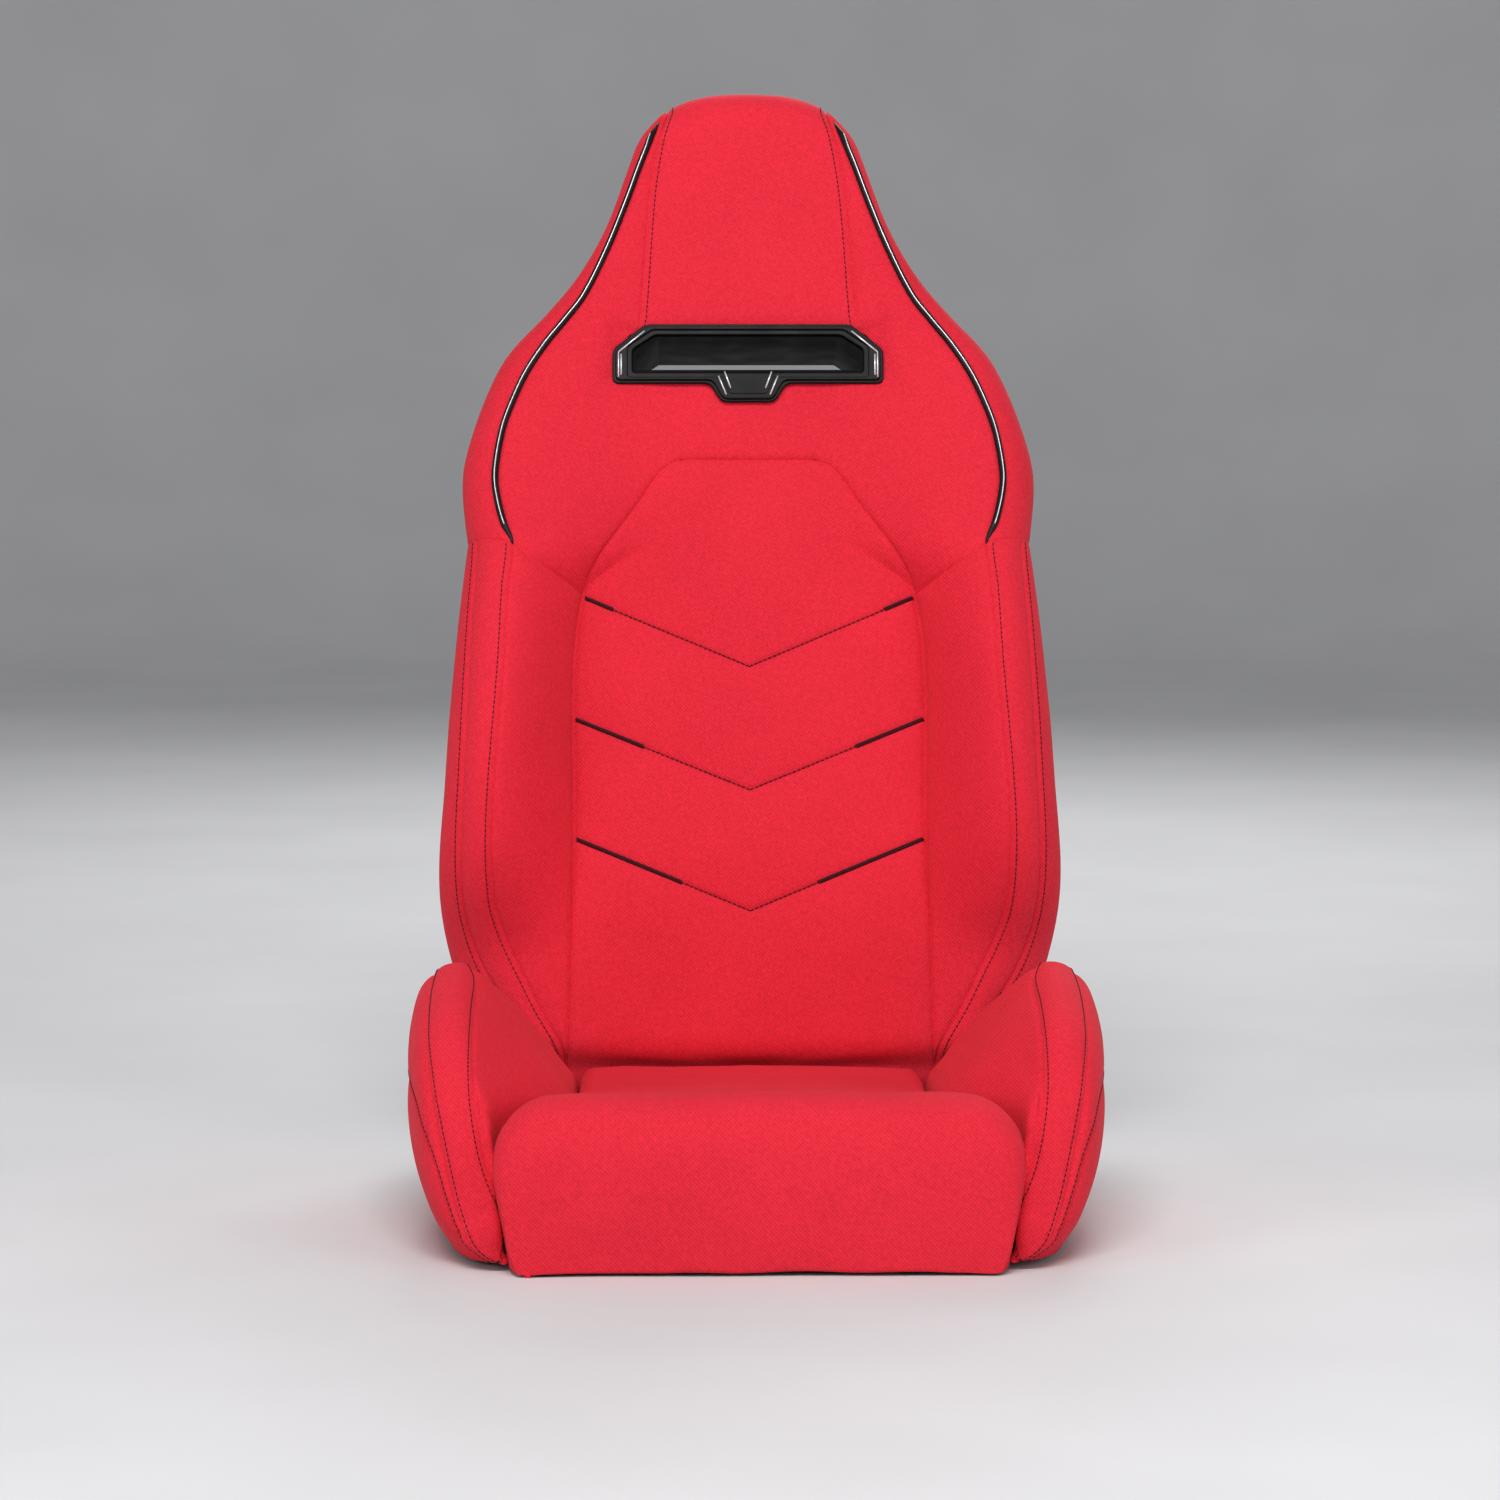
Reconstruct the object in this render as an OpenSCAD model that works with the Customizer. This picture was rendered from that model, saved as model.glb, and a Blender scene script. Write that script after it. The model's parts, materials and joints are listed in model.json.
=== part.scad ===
// Reclining bucket-style sport seat.
// Frame: +Z up, the seat faces -Y, +X is the sitter's left. The origin is the centre of the four
// floor bolts, on the plane of the mounting channels' undersides.
// Backrest parts are modelled upright about the recline pivot, then leaned back as one.

/* [Overall] */
// Width across the cushion bolsters
seat_w = 566; // [550:1:580]
// Lean of the backrest from upright, in degrees
recline = 14; // [10:0.5:18]
// Distance from the recline pivot to the top of the head
back_h = 850; // [830:1:870]

/* [Mounting] */
// Spacing of the floor bolts across the seat
mount_x = 370; // [366:1:374]
// Spacing of the floor bolts front to rear
mount_y = 295; // [280:1:310]
// Diameter of the floor bolt holes
mount_hole_d = 8.5; // [8.2:0.1:9.0]

/* [Frame] */
// Diameter of the frame tubes
tube_d = 22; // [20:1:22]
// Wall of the frame tubes
tube_wall = 1.5; // [1.2:0.1:2.5]
// Half spacing of the base side tubes
base_tube_x = 180; // [178:1:181]
// Half spacing of the backrest side tubes
back_tube_u = 170; // [168:1:172]

/* [Recliner] */
// Radius of the toothed sector on each recliner arm
sector_r = 42; // [40:0.5:43]
// Angle between neighbouring teeth, in degrees
tooth_step = 5; // [4:0.5:6]
// Diameter of the recline pivot bolts
pivot_d = 12; // [10:1:14]
// Diameter of the rod that joins the two release levers
rod_d = 10; // [8:1:11]

/* [Harness slot] */
// Width of the shoulder belt opening
slot_w = 200; // [190:1:204]
// Height of the shoulder belt opening
slot_h = 28; // [25:1:30]

/* [Hidden] */
$fn = 48;

// Places shared by several parts, in millimetres
pivot = [0, 253, 112];          // recline axis, along X
rod_at = [0, 200, 52];          // release shaft, along X
tube_r = tube_d / 2;
base_tube_z = 35;               // centre height of the base tubes
base_front_y = -215;            // front cross run of the base tube
base_rear_y = 262;              // open rear ends of the base tube
rear_bar = [0, 165, 35];        // cross bar behind the cushion springs, radius 9
channel_w = 30;
channel_h = 24;
channel_t = 3;
arm_x = [192, 198];             // recliner arm and latch, inner and outer face
plate_x = [200.3, 206.3];       // recliner plate, inner and outer face
cover_x = [207.5, 241];         // plastic cover, inner and outer face
lever_x = [243, 248];           // release lever, inner and outer face
belly_x = seat_w / 2;
roll_r = 66;                    // round lower end of the backrest, about the pivot
slot_v = 603;                   // height of the slot above the pivot
pad_back_n = -30;               // rear face of the soft backrest parts
channel_top_n = 14;             // the soft parts are hollow behind this plane, for the tubes
running = 0.05;                 // radial clearance of a running fit
split_v = 410;                  // where the side bolsters meet the shoulder pad

// Backrest outline: [height above pivot, half width]
back_outline = [[-40, 200], [0, 218], [30, 242], [60, 260], [117, 270], [210, 265], [320, 257], [413, 249],
    [490, 252], [530, 244], [575, 229], [607, 212], [643, 179], [677, 151], [723, 126], [783, 105],
    [815, 93], [834, 78], [843, 64], [848, 44], [850, 24]];
// Front face on the centre line: [height, distance in front of the pivot plane]
back_front = [[0, 66], [100, 70], [200, 69], [300, 64], [400, 57], [500, 53], [600, 50], [700, 51], [780, 47],
    [820, 39], [840, 27], [850, 12]];
// Height of the bolsters and shoulder wings above the centre: [height, rise]
wing_rise = [[60, 1], [80, 10], [100, 25], [125, 43], [155, 59], [205, 74], [270, 79], [340, 73], [400, 62],
    [440, 50], [490, 38], [550, 24], [610, 12], [680, 5], [760, 2], [850, 2]];
// Half width of the wing crest: [height, half width]
wing_crest = [[0, 180], [60, 208], [103, 222], [165, 224], [310, 214], [420, 211], [490, 224], [560, 208],
    [611, 181], [656, 146], [744, 108], [813, 83], [850, 16]];
// Cushion: top height, half width at the top and crown along the seat: [y, value]
cushion_top = [[-265, 68], [-261, 96], [-253, 115], [-240, 127], [-215, 133], [-170, 129], [-100, 117],
    [0, 104], [100, 96], [192, 92]];
cushion_half = [[-265, 196], [-240, 209], [-200, 209], [-150, 192], [-90, 166], [-20, 150], [192, 148]];
// Cushion bolsters: crest height, crest half width, belly half width, inner foot half width
bolster_top = [[-240, 44], [-230, 82], [-213, 122], [-190, 153], [-150, 180], [-100, 197], [-40, 207],
    [10, 207], [60, 178], [100, 150], [135, 126], [160, 104]];
bolster_crest = [[-240, 212], [-213, 238], [-190, 245], [-100, 250], [10, 248], [60, 226], [100, 206], [160, 186]];
bolster_belly = [[-240, 234], [-222, 256], [-190, 270], [-120, 281], [-40, 283], [10, 280], [40, 262],
    [72, 236], [100, 229], [135, 222], [160, 212]];
bolster_foot = [[-240, 199], [-200, 211], [-150, 195], [-90, 169], [-20, 153], [160, 152]];

// --- Functions ---

// Value at s on a smooth curve through [s, value] pairs
function span_of(t, s, i = 0) = (i >= len(t) - 2 || s <= t[i + 1][0]) ? i : span_of(t, s, i + 1);
function slope(t, i) = let (a = max(i - 1, 0), b = min(i + 1, len(t) - 1))
    (t[b][1] - t[a][1]) / (t[b][0] - t[a][0]);
function along(t, s) = let (
    i = span_of(t, s),
    h = t[i + 1][0] - t[i][0],
    x = min(max((s - t[i][0]) / h, 0), 1))
    (2 * x ^ 3 - 3 * x ^ 2 + 1) * t[i][1] + (x ^ 3 - 2 * x ^ 2 + x) * h * slope(t, i)
    + (3 * x ^ 2 - 2 * x ^ 3) * t[i + 1][1] + (x ^ 3 - x ^ 2) * h * slope(t, i + 1);
function stations(from, to, count) = [for (i = [0 : count]) from + (to - from) * i / count];
function mirrored(half) = concat(half, [for (i = [len(half) - 1 : -1 : 0]) [-half[i][0], half[i][1]]]);

// --- Helpers ---

function total(v, i = 0) = i >= len(v) ? [0, 0, 0] : v[i] + total(v, i + 1);
function facing(rings) = let (r = rings[0], m = len(r),
    area = total([for (i = [0 : m - 1]) cross(r[i] - r[0], r[(i + 1) % m] - r[0])]))
    area * (rings[len(rings) - 1][0] - r[0]) > 0 ? [for (r = rings) [for (i = [m - 1 : -1 : 0]) r[i]]] : rings;

// A closed solid through rings of equal length, each a list of 3-D points
module loft(given) {
    rings = facing(given);
    n = len(rings[0]);
    last = len(rings) - 1;
    sides = [for (r = [0 : last - 1], i = [0 : n - 1])
        let (j = (i + 1) % n) each [[r * n + i, r * n + j, (r + 1) * n + j], [r * n + i, (r + 1) * n + j, (r + 1) * n + i]]];
    ends = [[for (i = [n - 1 : -1 : 0]) i], [for (i = [0 : n - 1]) last * n + i]];
    polyhedron(points = [for (ring = rings) each ring], faces = concat(sides, ends), convexity = 6);
}

// Upright backrest space (u across, v up, n forward) leaned into place
module in_back() translate(pivot) rotate([-recline, 0, 0]) children();

// A flat outline in (u, v), given thickness from n0 to n1 in the backrest's space
module back_slab(n0, n1) translate([0, -n0, 0]) rotate([90, 0, 0]) linear_extrude(n1 - n0) children();

// Mirror pair: side is 1 for left (+X) and -1 for right
module on_side(side) if (side > 0) children(); else mirror([1, 0, 0]) children();

// A cylinder along X between two x values, at a y and z
module x_rod(x0, x1, y, z, r) translate([x0, y, z]) rotate([0, 90, 0]) cylinder(h = x1 - x0, r = r);

// A round tube in a plane, through corner points with bends of one radius
module bent_tube(points, bend, r, extra = 0) {
    last = len(points) - 1;
    turn = [for (i = [0 : last]) (i == 0 || i == last) ? 0 : bend_angle(points[i - 1], points[i], points[i + 1])];
    cut = [for (i = [0 : last]) bend * tan(abs(turn[i]) / 2)];
    for (i = [0 : last - 1]) {
        d = points[i + 1] - points[i];
        head = atan2(d[1], d[0]);
        from = cut[i] - (i == 0 ? extra : 0);
        to = norm(d) - cut[i + 1] + (i == last - 1 ? extra : 0);
        translate([points[i][0], points[i][1], 0]) rotate([0, 0, head]) rotate([0, 90, 0])
            translate([0, 0, from]) cylinder(h = to - from, r = r);
    }
    for (i = [1 : last - 1]) {
        d = points[i] - points[i - 1];
        head = atan2(d[1], d[0]);
        side = sign(turn[i]);
        start = points[i] - cut[i] * d / norm(d);
        translate([start[0], start[1], 0]) rotate([0, 0, head]) translate([0, side * bend, 0])
            rotate([0, 0, side > 0 ? -90 : 90 + turn[i]]) rotate_extrude(angle = abs(turn[i])) translate([bend, 0]) circle(r);
    }
}
function bend_angle(a, b, c) = let (
    t = atan2(c[1] - b[1], c[0] - b[0]) - atan2(b[1] - a[1], b[0] - a[0]))
    t > 180 ? t - 360 : (t < -180 ? t + 360 : t);

// Hexagon head or nut along X
module x_hex(x0, x1, y, z, across) translate([x0, y, z]) rotate([0, 90, 0])
    cylinder(h = x1 - x0, d = across / cos(30), $fn = 6);

// --- Base structure ---

module base_tube_run(r, extra) translate([0, 0, base_tube_z])
    bent_tube([[-base_tube_x, base_rear_y], [-base_tube_x, base_front_y], [base_tube_x, base_front_y],
        [base_tube_x, base_rear_y]], 45, r, extra);

module base_frame() color("dimgray") {
    difference() {
        union() {
            base_tube_run(tube_r, 0);
            x_rod(-base_tube_x, base_tube_x, rear_bar[1], rear_bar[2], 9);
            for (s = [-1, 1], p = plate_bolt_points())
                x_rod(s > 0 ? base_tube_x : -plate_x[0], s > 0 ? plate_x[0] : -base_tube_x, p[0], p[1], 8);
        }
        base_tube_run(tube_r - tube_wall, 1);
    }
}

function plate_bolt_points() = [[150, base_tube_z], [255, base_tube_z - 1]];

module mount_channel(side) color("dimgray") on_side(side) {
    length = mount_y + 145;
    x0 = mount_x / 2 - channel_w / 2;
    difference() {
        translate([x0, -length / 2 + 35, 0]) cube([channel_w, length, channel_h]);
        translate([x0 + channel_t, -length / 2 + 34, channel_t])
            cube([channel_w - 2 * channel_t, length + 2, channel_h]);
        for (y = [-mount_y / 2, mount_y / 2])
            translate([mount_x / 2, y, -1]) cylinder(h = channel_t + 2, d = mount_hole_d);
    }
}

module mount_weld_nuts() color("silver")
    for (x = [-mount_x / 2, mount_x / 2], y = [-mount_y / 2, mount_y / 2])
        translate([x, y, channel_t]) difference() {
            cylinder(h = 7, d = 14.5, $fn = 6);
            translate([0, 0, -1]) cylinder(h = 9, d = 8.1);
        }

seat_wire_z = base_tube_z + tube_r + 3;
module seat_suspension_wires() color("silver") {
    for (x = [-120, -72, -24, 24, 72, 120])
        translate([x, base_front_y + 3, seat_wire_z]) rotate([-90, 0, 0])
            cylinder(h = rear_bar[1] - base_front_y - 6, r = 1.6);
    for (y = [-140, -60, 20, 100])
        x_rod(-134, 134, y, seat_wire_z - 3.2, 1.6);
}

// Saddle clips that carry the wires on the front tube and the rear cross bar
module seat_suspension_hooks() color("dimgray") for (x = [-120, -72, -24, 24, 72, 120]) difference() {
    union() {
        translate([x - 4, base_front_y - 8, base_tube_z + 4]) cube([8, 16, 12.5]);
        translate([x - 4, rear_bar[1] - 8, base_tube_z + 4]) cube([8, 16, 12.5]);
    }
    x_rod(x - 5, x + 5, base_front_y, base_tube_z, tube_r);
    x_rod(x - 5, x + 5, rear_bar[1], rear_bar[2], 9);
    translate([x, base_front_y + 3, seat_wire_z]) rotate([-90, 0, 0])
        cylinder(h = rear_bar[1] - base_front_y - 6, r = 1.7);
}

// --- Cushion ---

function cushion_ring(y) = let (
    top = along(cushion_top, y),
    half = along(cushion_half, y),
    low = 4,
    foot = half - 20 * max(0, min(1, (-150 - y) / 60)),
    round_r = 12 + 34 * max(0, min(1, (-110 - y) / 90)))
    [for (p = mirrored([[foot - 8, low], [foot, low + 6], [half, min(70, top - round_r)],
        for (a = [15 : 25 : 90]) [half - round_r + round_r * cos(a), top - round_r + round_r * sin(a)],
        [half * 0.45, top + 2], [half * 0.15, top + 1]])) [p[0], y, p[1]]];

module cushion_pad() color("crimson") difference() {
    loft([for (y = [-265, -261, -253, -240, -215, -170, -130, -90, -40, 20, 80, 140, 192]) cushion_ring(y)]);
    translate([-300, base_front_y - 14, -1]) cube([600, 600, seat_wire_z + 4.5]);
    x_rod(-300, 300, pivot[1], pivot[2], roll_r + 3);
}

// --- Cushion bolsters ---

function bolster_ring(y) = let (
    top = along(bolster_top, y),
    crest = along(bolster_crest, y),
    belly = along(bolster_belly, y),
    foot = along(bolster_foot, y),
    seat = min(along(cushion_top, max(y, -215)) - 6, top - 8),
    k = min(1, top / 150))
    [for (p = [[foot, 5], [foot, seat * 0.7], [foot + 4, seat], [(foot + crest) / 2 - 4, (seat + top) / 2 + 2],
        [crest - 18, top - 6], [crest - 8, top - 1], [crest + 4, top], [crest + 15, top - 6],
        [(crest + belly) / 2 + 11, top - 24 * k], [belly, top * 0.68], [belly - 3, top * 0.45],
        [belly - 14, top * 0.22 + 2], [belly - 38, 5]]) [p[0], y, p[1]]];

module base_bolster(side) color("crimson") on_side(side) difference() {
    loft([for (y = [-240, -230, -213, -190, -150, -100, -40, 20, 60, 100, 135, 160]) bolster_ring(y)]);
    translate([0, base_front_y - 14, -1]) cube([213, 600, 63]);
}

// --- Recliner, fixed side ---

module plate_outline(shrink = 0) {
    hull() {
        translate([pivot[1], pivot[2]]) circle(30 - shrink);
        translate([262, 34]) circle(15 - shrink);
        translate([238, 34]) circle(15 - shrink);
    }
    hull() {
        translate([150, base_tube_z]) circle(13 - shrink);
        translate([rod_at[1], rod_at[2]]) circle(16 - shrink);
        translate([250, 34]) circle(15 - shrink);
    }
}

// An outline in (y, z) given thickness along X
module x_slab(x0, x1) translate([x0, 0, 0]) rotate([90, 0, 90]) linear_extrude(x1 - x0) children();

module recliner_plate(side) color("dimgray") on_side(side) difference() {
    x_slab(plate_x[0], plate_x[1]) plate_outline();
    x_rod(plate_x[0] - 1, plate_x[1] + 1, pivot[1], pivot[2], pivot_d / 2 + running);
    x_rod(plate_x[0] - 1, plate_x[1] + 1, rod_at[1], rod_at[2], rod_d / 2 + 2.05);
    for (p = plate_bolt_points()) x_rod(plate_x[0] - 1, plate_x[1] + 1, p[0], p[1], 4.2);
}

module recliner_plate_bolts() color("silver")
    for (s = [-1, 1], p = plate_bolt_points()) on_side(s)
        x_hex(plate_x[1], plate_x[1] + 5.5, p[0], p[1], 13);

// Low flange bush that carries the release rod in the plate
module rod_bush(side) color("dimgray") on_side(side) difference() {
    union() {
        x_rod(plate_x[0] - 1, plate_x[1] + 0.2, rod_at[1], rod_at[2], rod_d / 2 + 2);
        x_rod(plate_x[1] + 0.2, plate_x[1] + 2, rod_at[1], rod_at[2], rod_d / 2 + 5);
    }
    x_rod(plate_x[0] - 2, plate_x[1] + 3, rod_at[1], rod_at[2], rod_d / 2 + running);
}

module pivot_bolt(side) color("silver") on_side(side) {
    x_rod(arm_x[0] - 2, plate_x[1] + 15, pivot[1], pivot[2], pivot_d / 2);
    x_hex(arm_x[0] - 10, arm_x[0] - 2, pivot[1], pivot[2], 19);
}

// Flat spiral spring round the bolt's outer end: inner radius, outer radius, turns, half thickness
spiral = [7.6, 31, 2.6, 0.9];
function spiral_at(t, d) = let (a = 360 * spiral[2] * t - 6, r = spiral[0] + (spiral[1] - spiral[0]) * t + d)
    [pivot[1] + r * sin(a), pivot[2] + r * cos(a)];
module recline_spring(side) color("gray") on_side(side) x_slab(plate_x[1] + 2.5, plate_x[1] + 9)
    polygon([for (t = [0 : 0.02 : 1]) spiral_at(t, -spiral[3]), for (t = [1 : -0.02 : 0]) spiral_at(t, spiral[3])]);

module cover_outline(grow = 0) hull() {
    translate([pivot[1], pivot[2]]) circle(48 + grow);
    translate([184, 30]) circle(20 + grow);
    translate([286, 30]) circle(20 + grow);
}

module recliner_cover(side) color("#1c1c1e") on_side(side) difference() {
    union() {
        x_slab(cover_x[0], cover_x[1] - 5) cover_outline();
        hull() {
            x_slab(cover_x[1] - 5.2, cover_x[1] - 5) cover_outline();
            x_slab(cover_x[1] - 0.2, cover_x[1]) cover_outline(-6);
        }
    }
    x_slab(cover_x[0] - 1, cover_x[1] - 3) cover_outline(-2.5);
    x_rod(cover_x[0] - 1, cover_x[1] + 1, rod_at[1], rod_at[2], rod_d / 2 + 1.5);
    for (p = cover_screw_points()) x_rod(cover_x[1] - 4, cover_x[1] + 1, p[0], p[1], 2.2);
}

function cover_screw_points() = [[180, 28], [273, 34]];

module cover_screws() color("silver") for (s = [-1, 1], p = cover_screw_points()) on_side(s) {
    x_rod(plate_x[1], cover_x[1], p[0], p[1], 2);
    difference() {
        x_rod(cover_x[1], cover_x[1] + 1.8, p[0], p[1], 4.5);
        x_hex(cover_x[1] + 0.8, cover_x[1] + 3, p[0], p[1], 4);
    }
}

// --- Backrest structure ---

// Two tubular legs joined by cross bars
module back_frame() color("dimgray") in_back() difference() {
    union() {
        for (u = [-back_tube_u, back_tube_u]) translate([u, 0, -8]) cylinder(h = 568, r = tube_r);
        for (v = [22, 520]) x_rod(-back_tube_u, back_tube_u, 0, v, 8);
    }
    for (u = [-back_tube_u, back_tube_u]) translate([u, 0, -10]) cylinder(h = 572, r = tube_r - tube_wall);
}

// Solid bent bar welded on top of the legs, round the slot and up into the headrest
module head_loop() color("dimgray") in_back() difference() {
    union() {
        rotate([90, 0, 0]) bent_tube([[-80, 690], [-80, 796], [80, 796], [80, 690]], 40, 8);
        for (s = [-1, 1]) on_side(s) translate([back_tube_u, 0, 560]) rotate([0, -atan(90 / 130), 0])
            translate([0, 0, -12]) cylinder(h = norm([90, 130]) + 15, r = 8);
    }
    translate([-250, -50, 500]) cube([500, 100, 60]);
}

function arm_bolt_points() = [[-2, 62], [-2, 128]];

// Arm plate with a hub, an upright leg and a toothed sector below the hub, outline in (-n, v)
module arm_outline() {
    difference() {
        union() {
            circle(sector_r - 4);
            hull() {
                circle(30);
                translate([-2, 130]) circle(17);
            }
            for (a = [-70 : tooth_step : 70])
                rotate(a) polygon([[-1.6, -(sector_r - 5)], [1.6, -(sector_r - 5)], [0, -sector_r]]);
        }
        circle(9.05);
    }
}

module recliner_arm(side) color("gray") on_side(side) in_back() {
    difference() {
        x_slab(arm_x[0], arm_x[1]) arm_outline();
        for (p = arm_bolt_points()) x_rod(arm_x[0] - 1, arm_x[1] + 1, p[0], p[1], 4.2);
    }
    for (p = arm_bolt_points()) difference() {
        x_rod(back_tube_u + tube_r + 0.2, arm_x[0], p[0], p[1], 9);
        x_rod(back_tube_u + tube_r - 1, arm_x[0] + 1, p[0], p[1], 4.2);
    }
    x_rod(arm_x[1], plate_x[1] + 8, 0, 35.5, 2.8);
}

module recliner_arm_bolts() color("silver") for (s = [-1, 1], p = arm_bolt_points()) on_side(s) in_back()
    x_hex(arm_x[1], arm_x[1] + 5, p[0], p[1], 13);

module pivot_bush(side) color("goldenrod") on_side(side) difference() {
    x_rod(arm_x[0] - 1.5, arm_x[1] + 1.5, pivot[1], pivot[2], 9);
    x_rod(arm_x[0] - 3, arm_x[1] + 3, pivot[1], pivot[2], pivot_d / 2 + running);
}

module back_suspension_wires() color("silver") in_back() {
    for (v = [90, 150, 210, 270, 330, 390, 450]) x_rod(-132, 132, 0, v, 1.6);
    for (u = [-60, 60]) translate([u, 3.2, 70]) cylinder(h = 400, r = 1.6);
}

module back_suspension_hooks() color("dimgray") in_back()
    for (s = [-1, 1], v = [90, 150, 210, 270, 330, 390, 450]) on_side(s)
        translate([124, -4, v - 4]) difference() {
            cube([42, 8, 8]);
            translate([-1, 4, 4]) rotate([0, 90, 0]) cylinder(h = 9, r = 1.7);
            translate([back_tube_u - 124, 4, -1]) cylinder(h = 10, r = tube_r);
        }

// --- Backrest pads ---

// Hollow behind the pads for the hoop, its hangers and the recliner arms
module frame_hollow() {
    side = arm_x[1] + 6;
    back_slab(-80, channel_top_n)
        polygon([[-side, -80], [side, -80], [side, 548], [98, 702], [98, 770], [70, 815], [-70, 815],
            [-98, 770], [-98, 702], [-side, 548]]);
    for (s = [-1, 1]) on_side(s) back_slab(-80, 30) translate([arm_x[0] - 8, -80]) square([side - arm_x[0] + 8, 234]);
}

module slot_cut(grow) back_slab(-90, 140) translate([0, slot_v]) slot_outline(grow, grow, 20, 13);

// Six-sided outline round the slot, wider by gw and taller by gh, with clipped upper corners
module slot_outline(gw, gh, clip_w, clip_h) {
    w = slot_w / 2 + gw;
    h = slot_h / 2 + gh;
    polygon([[-w, -h], [w, -h], [w, h - clip_h], [w - clip_w, h], [clip_w - w, h], [-w, h - clip_h]]);
}

// Side view of the pad in (n, v): the round lower end and the front face over the given heights
module pad_profile(heights, rear) {
    arc = [for (a = [-80 : 8 : -4]) [roll_r * cos(a), roll_r * sin(a)]];
    face = [for (v = heights) [along(back_front, v), v]];
    polygon(concat(arc, face, [[rear, heights[len(heights) - 1]], [rear, -roll_r * 0.96]]));
}

// A side view given width between two u values
module pad_slab(u0, u1) translate([u0, 0, 0]) rotate([90, 0, 90]) linear_extrude(u1 - u0)
    mirror([1, 0]) children();

module back_center_pad() color("crimson") in_back()
    pad_slab(-145, 145) pad_profile([0, 60, 120, 200, 280, 340, split_v], 9);

// Heights at which the shoulder pad and its piping are shaped
upper_v = [440, 475, 510, 545, 580, 607, 630, 655, 677, 700, 740, 783, 815];

// Half section of the backrest at height v, from the front centre round to the rear
function back_section(v) = let (
    half = along(back_outline, v),
    crest = min(along(wing_crest, v), half - 8),
    front = along(back_front, v),
    top = front + along(wing_rise, v),
    edge = min(30, half - crest),
    rear = max(pad_back_n, -front * 1.2))
    [[0.3 * crest, front], [0.62 * crest, front + 0.1 * (top - front)], [0.82 * crest, front + 0.5 * (top - front)],
        [crest - 4, top - 1], [crest + 0.45 * edge, top - 3], [crest + 0.8 * edge, top - 13], [half, top - 34 * min(1, front / 50)],
        [half, max(rear + 12, -18 * min(1, front / 50))], [half - 10, rear], [0.2 * half, rear]];

module back_upper_pad() color("crimson") in_back() difference() {
    loft([for (v = concat([split_v + 0.5], upper_v, [834, 843, 848, 850]))
        [for (p = mirrored(back_section(v))) [p[0], -p[1], v]]]);
    frame_hollow();
    slot_cut(10);
}

// Side bolster section at height v, with its inner foot beside the centre pad
function bolster_section(v) = let (
    half = along(back_outline, v),
    foot = 147,
    crest = max(foot + 18, min(along(wing_crest, v), half - 24)),
    e = half - crest,
    front = along(back_front, v),
    top = front + along(wing_rise, v))
    [[foot, -20], [foot, front - 3], [foot + 0.5 * (crest - foot), front + 0.42 * (top - front)],
        [max(foot + 6, crest - 14), top - 4], [crest, top], [crest + 0.4 * e, top - 3], [crest + 0.85 * e, top - 20], [half, top - 42],
        [half, -12], [half - 10, pad_back_n], [foot, pad_back_n]];

module back_bolster(side) color("crimson") on_side(side) in_back() {
    difference() {
        loft([for (v = [20, 60, 80, 100, 125, 155, 205, 270, 340, split_v])
            [for (p = bolster_section(v)) [p[0], -p[1], v]]]);
        frame_hollow();
        x_rod(arm_x[0] - 1, 320, 0, 0, 60);
    }
    pad_slab(147, arm_x[0] - 2.5) pad_profile([0, 20.5], 15);
}

// Thin moulded shell over the rear of the backrest
module back_rear_shell() color("#1c1c1e") in_back() difference() {
    loft([for (v = [-30, 0, 40, 120, 240, 360, 480, 560, 607, 643, 677, 723, 783, 815, 830]) shell_ring(v, 0)]);
    loft([for (v = [-26, 0, 40, 120, 240, 360, 480, 560, 607, 643, 677, 723, 783, 815, 826]) shell_ring(v, 3)]);
    slot_cut(3.4);
    for (p = shell_screw_points()) translate([p[0], 30, p[1]]) rotate([-90, 0, 0]) cylinder(h = 30, r = 2.2);
    for (p = shell_screw_points()) translate([p[0], shell_screw_y, p[1]]) rotate([-90, 0, 0]) cylinder(h = 30, r = 6.5);
}
function shell_half(v) = v < 75 ? 160 + 20 * max(0, min(1, (v + 40) / 115)) : along(back_outline, v) - 22;
function shell_ring(v, wall) = let (
    half = max(20, min(shell_half(v), 180 + max(0, v - 75) * 2) - wall),
    deep = 20 * min(1, (850 - v) / 60) * min(1, (v + 60) / 60),
    rim = -pad_back_n + 0.6,
    front = wall > 0 ? rim - 2 : rim)
    [for (p = mirrored([[half, front], [half, rim + 2 - wall * 0.5], [half - 14, rim + 0.7 * deep - wall],
        [half * 0.55, rim + 0.95 * deep - wall], [half * 0.2, rim + deep - wall]])) [p[0], p[1], v]];

shell_screw_y = 45.8;
function shell_screw_points() = [[140, 40], [-140, 40], [180, 330], [-180, 330], [60, 790], [-60, 790]];
module rear_shell_screws() color("silver") in_back() for (p = shell_screw_points())
    translate([p[0], shell_screw_y, p[1]]) rotate([-90, 0, 0]) {
        cylinder(h = 2.2, r = 5);
        translate([0, 0, -9]) cylinder(h = 9.1, r = 2);
    }

// --- Harness slot ---

module slot_liner() color("#151515") in_back() back_slab(-51, 53) translate([0, slot_v]) difference() {
    slot_outline(3, 3, 20, 13);
    slot_outline(0, 0, 20, 13);
}

// Bezel outline with a small tapered tab below its centre
module bezel_outline(grow) translate([0, slot_v]) offset(r = 4 + grow) offset(delta = -4) {
    slot_outline(21, 13, 29, 23);
    polygon([[-31, -20], [31, -20], [22, -44], [-22, -44]]);
}

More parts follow.
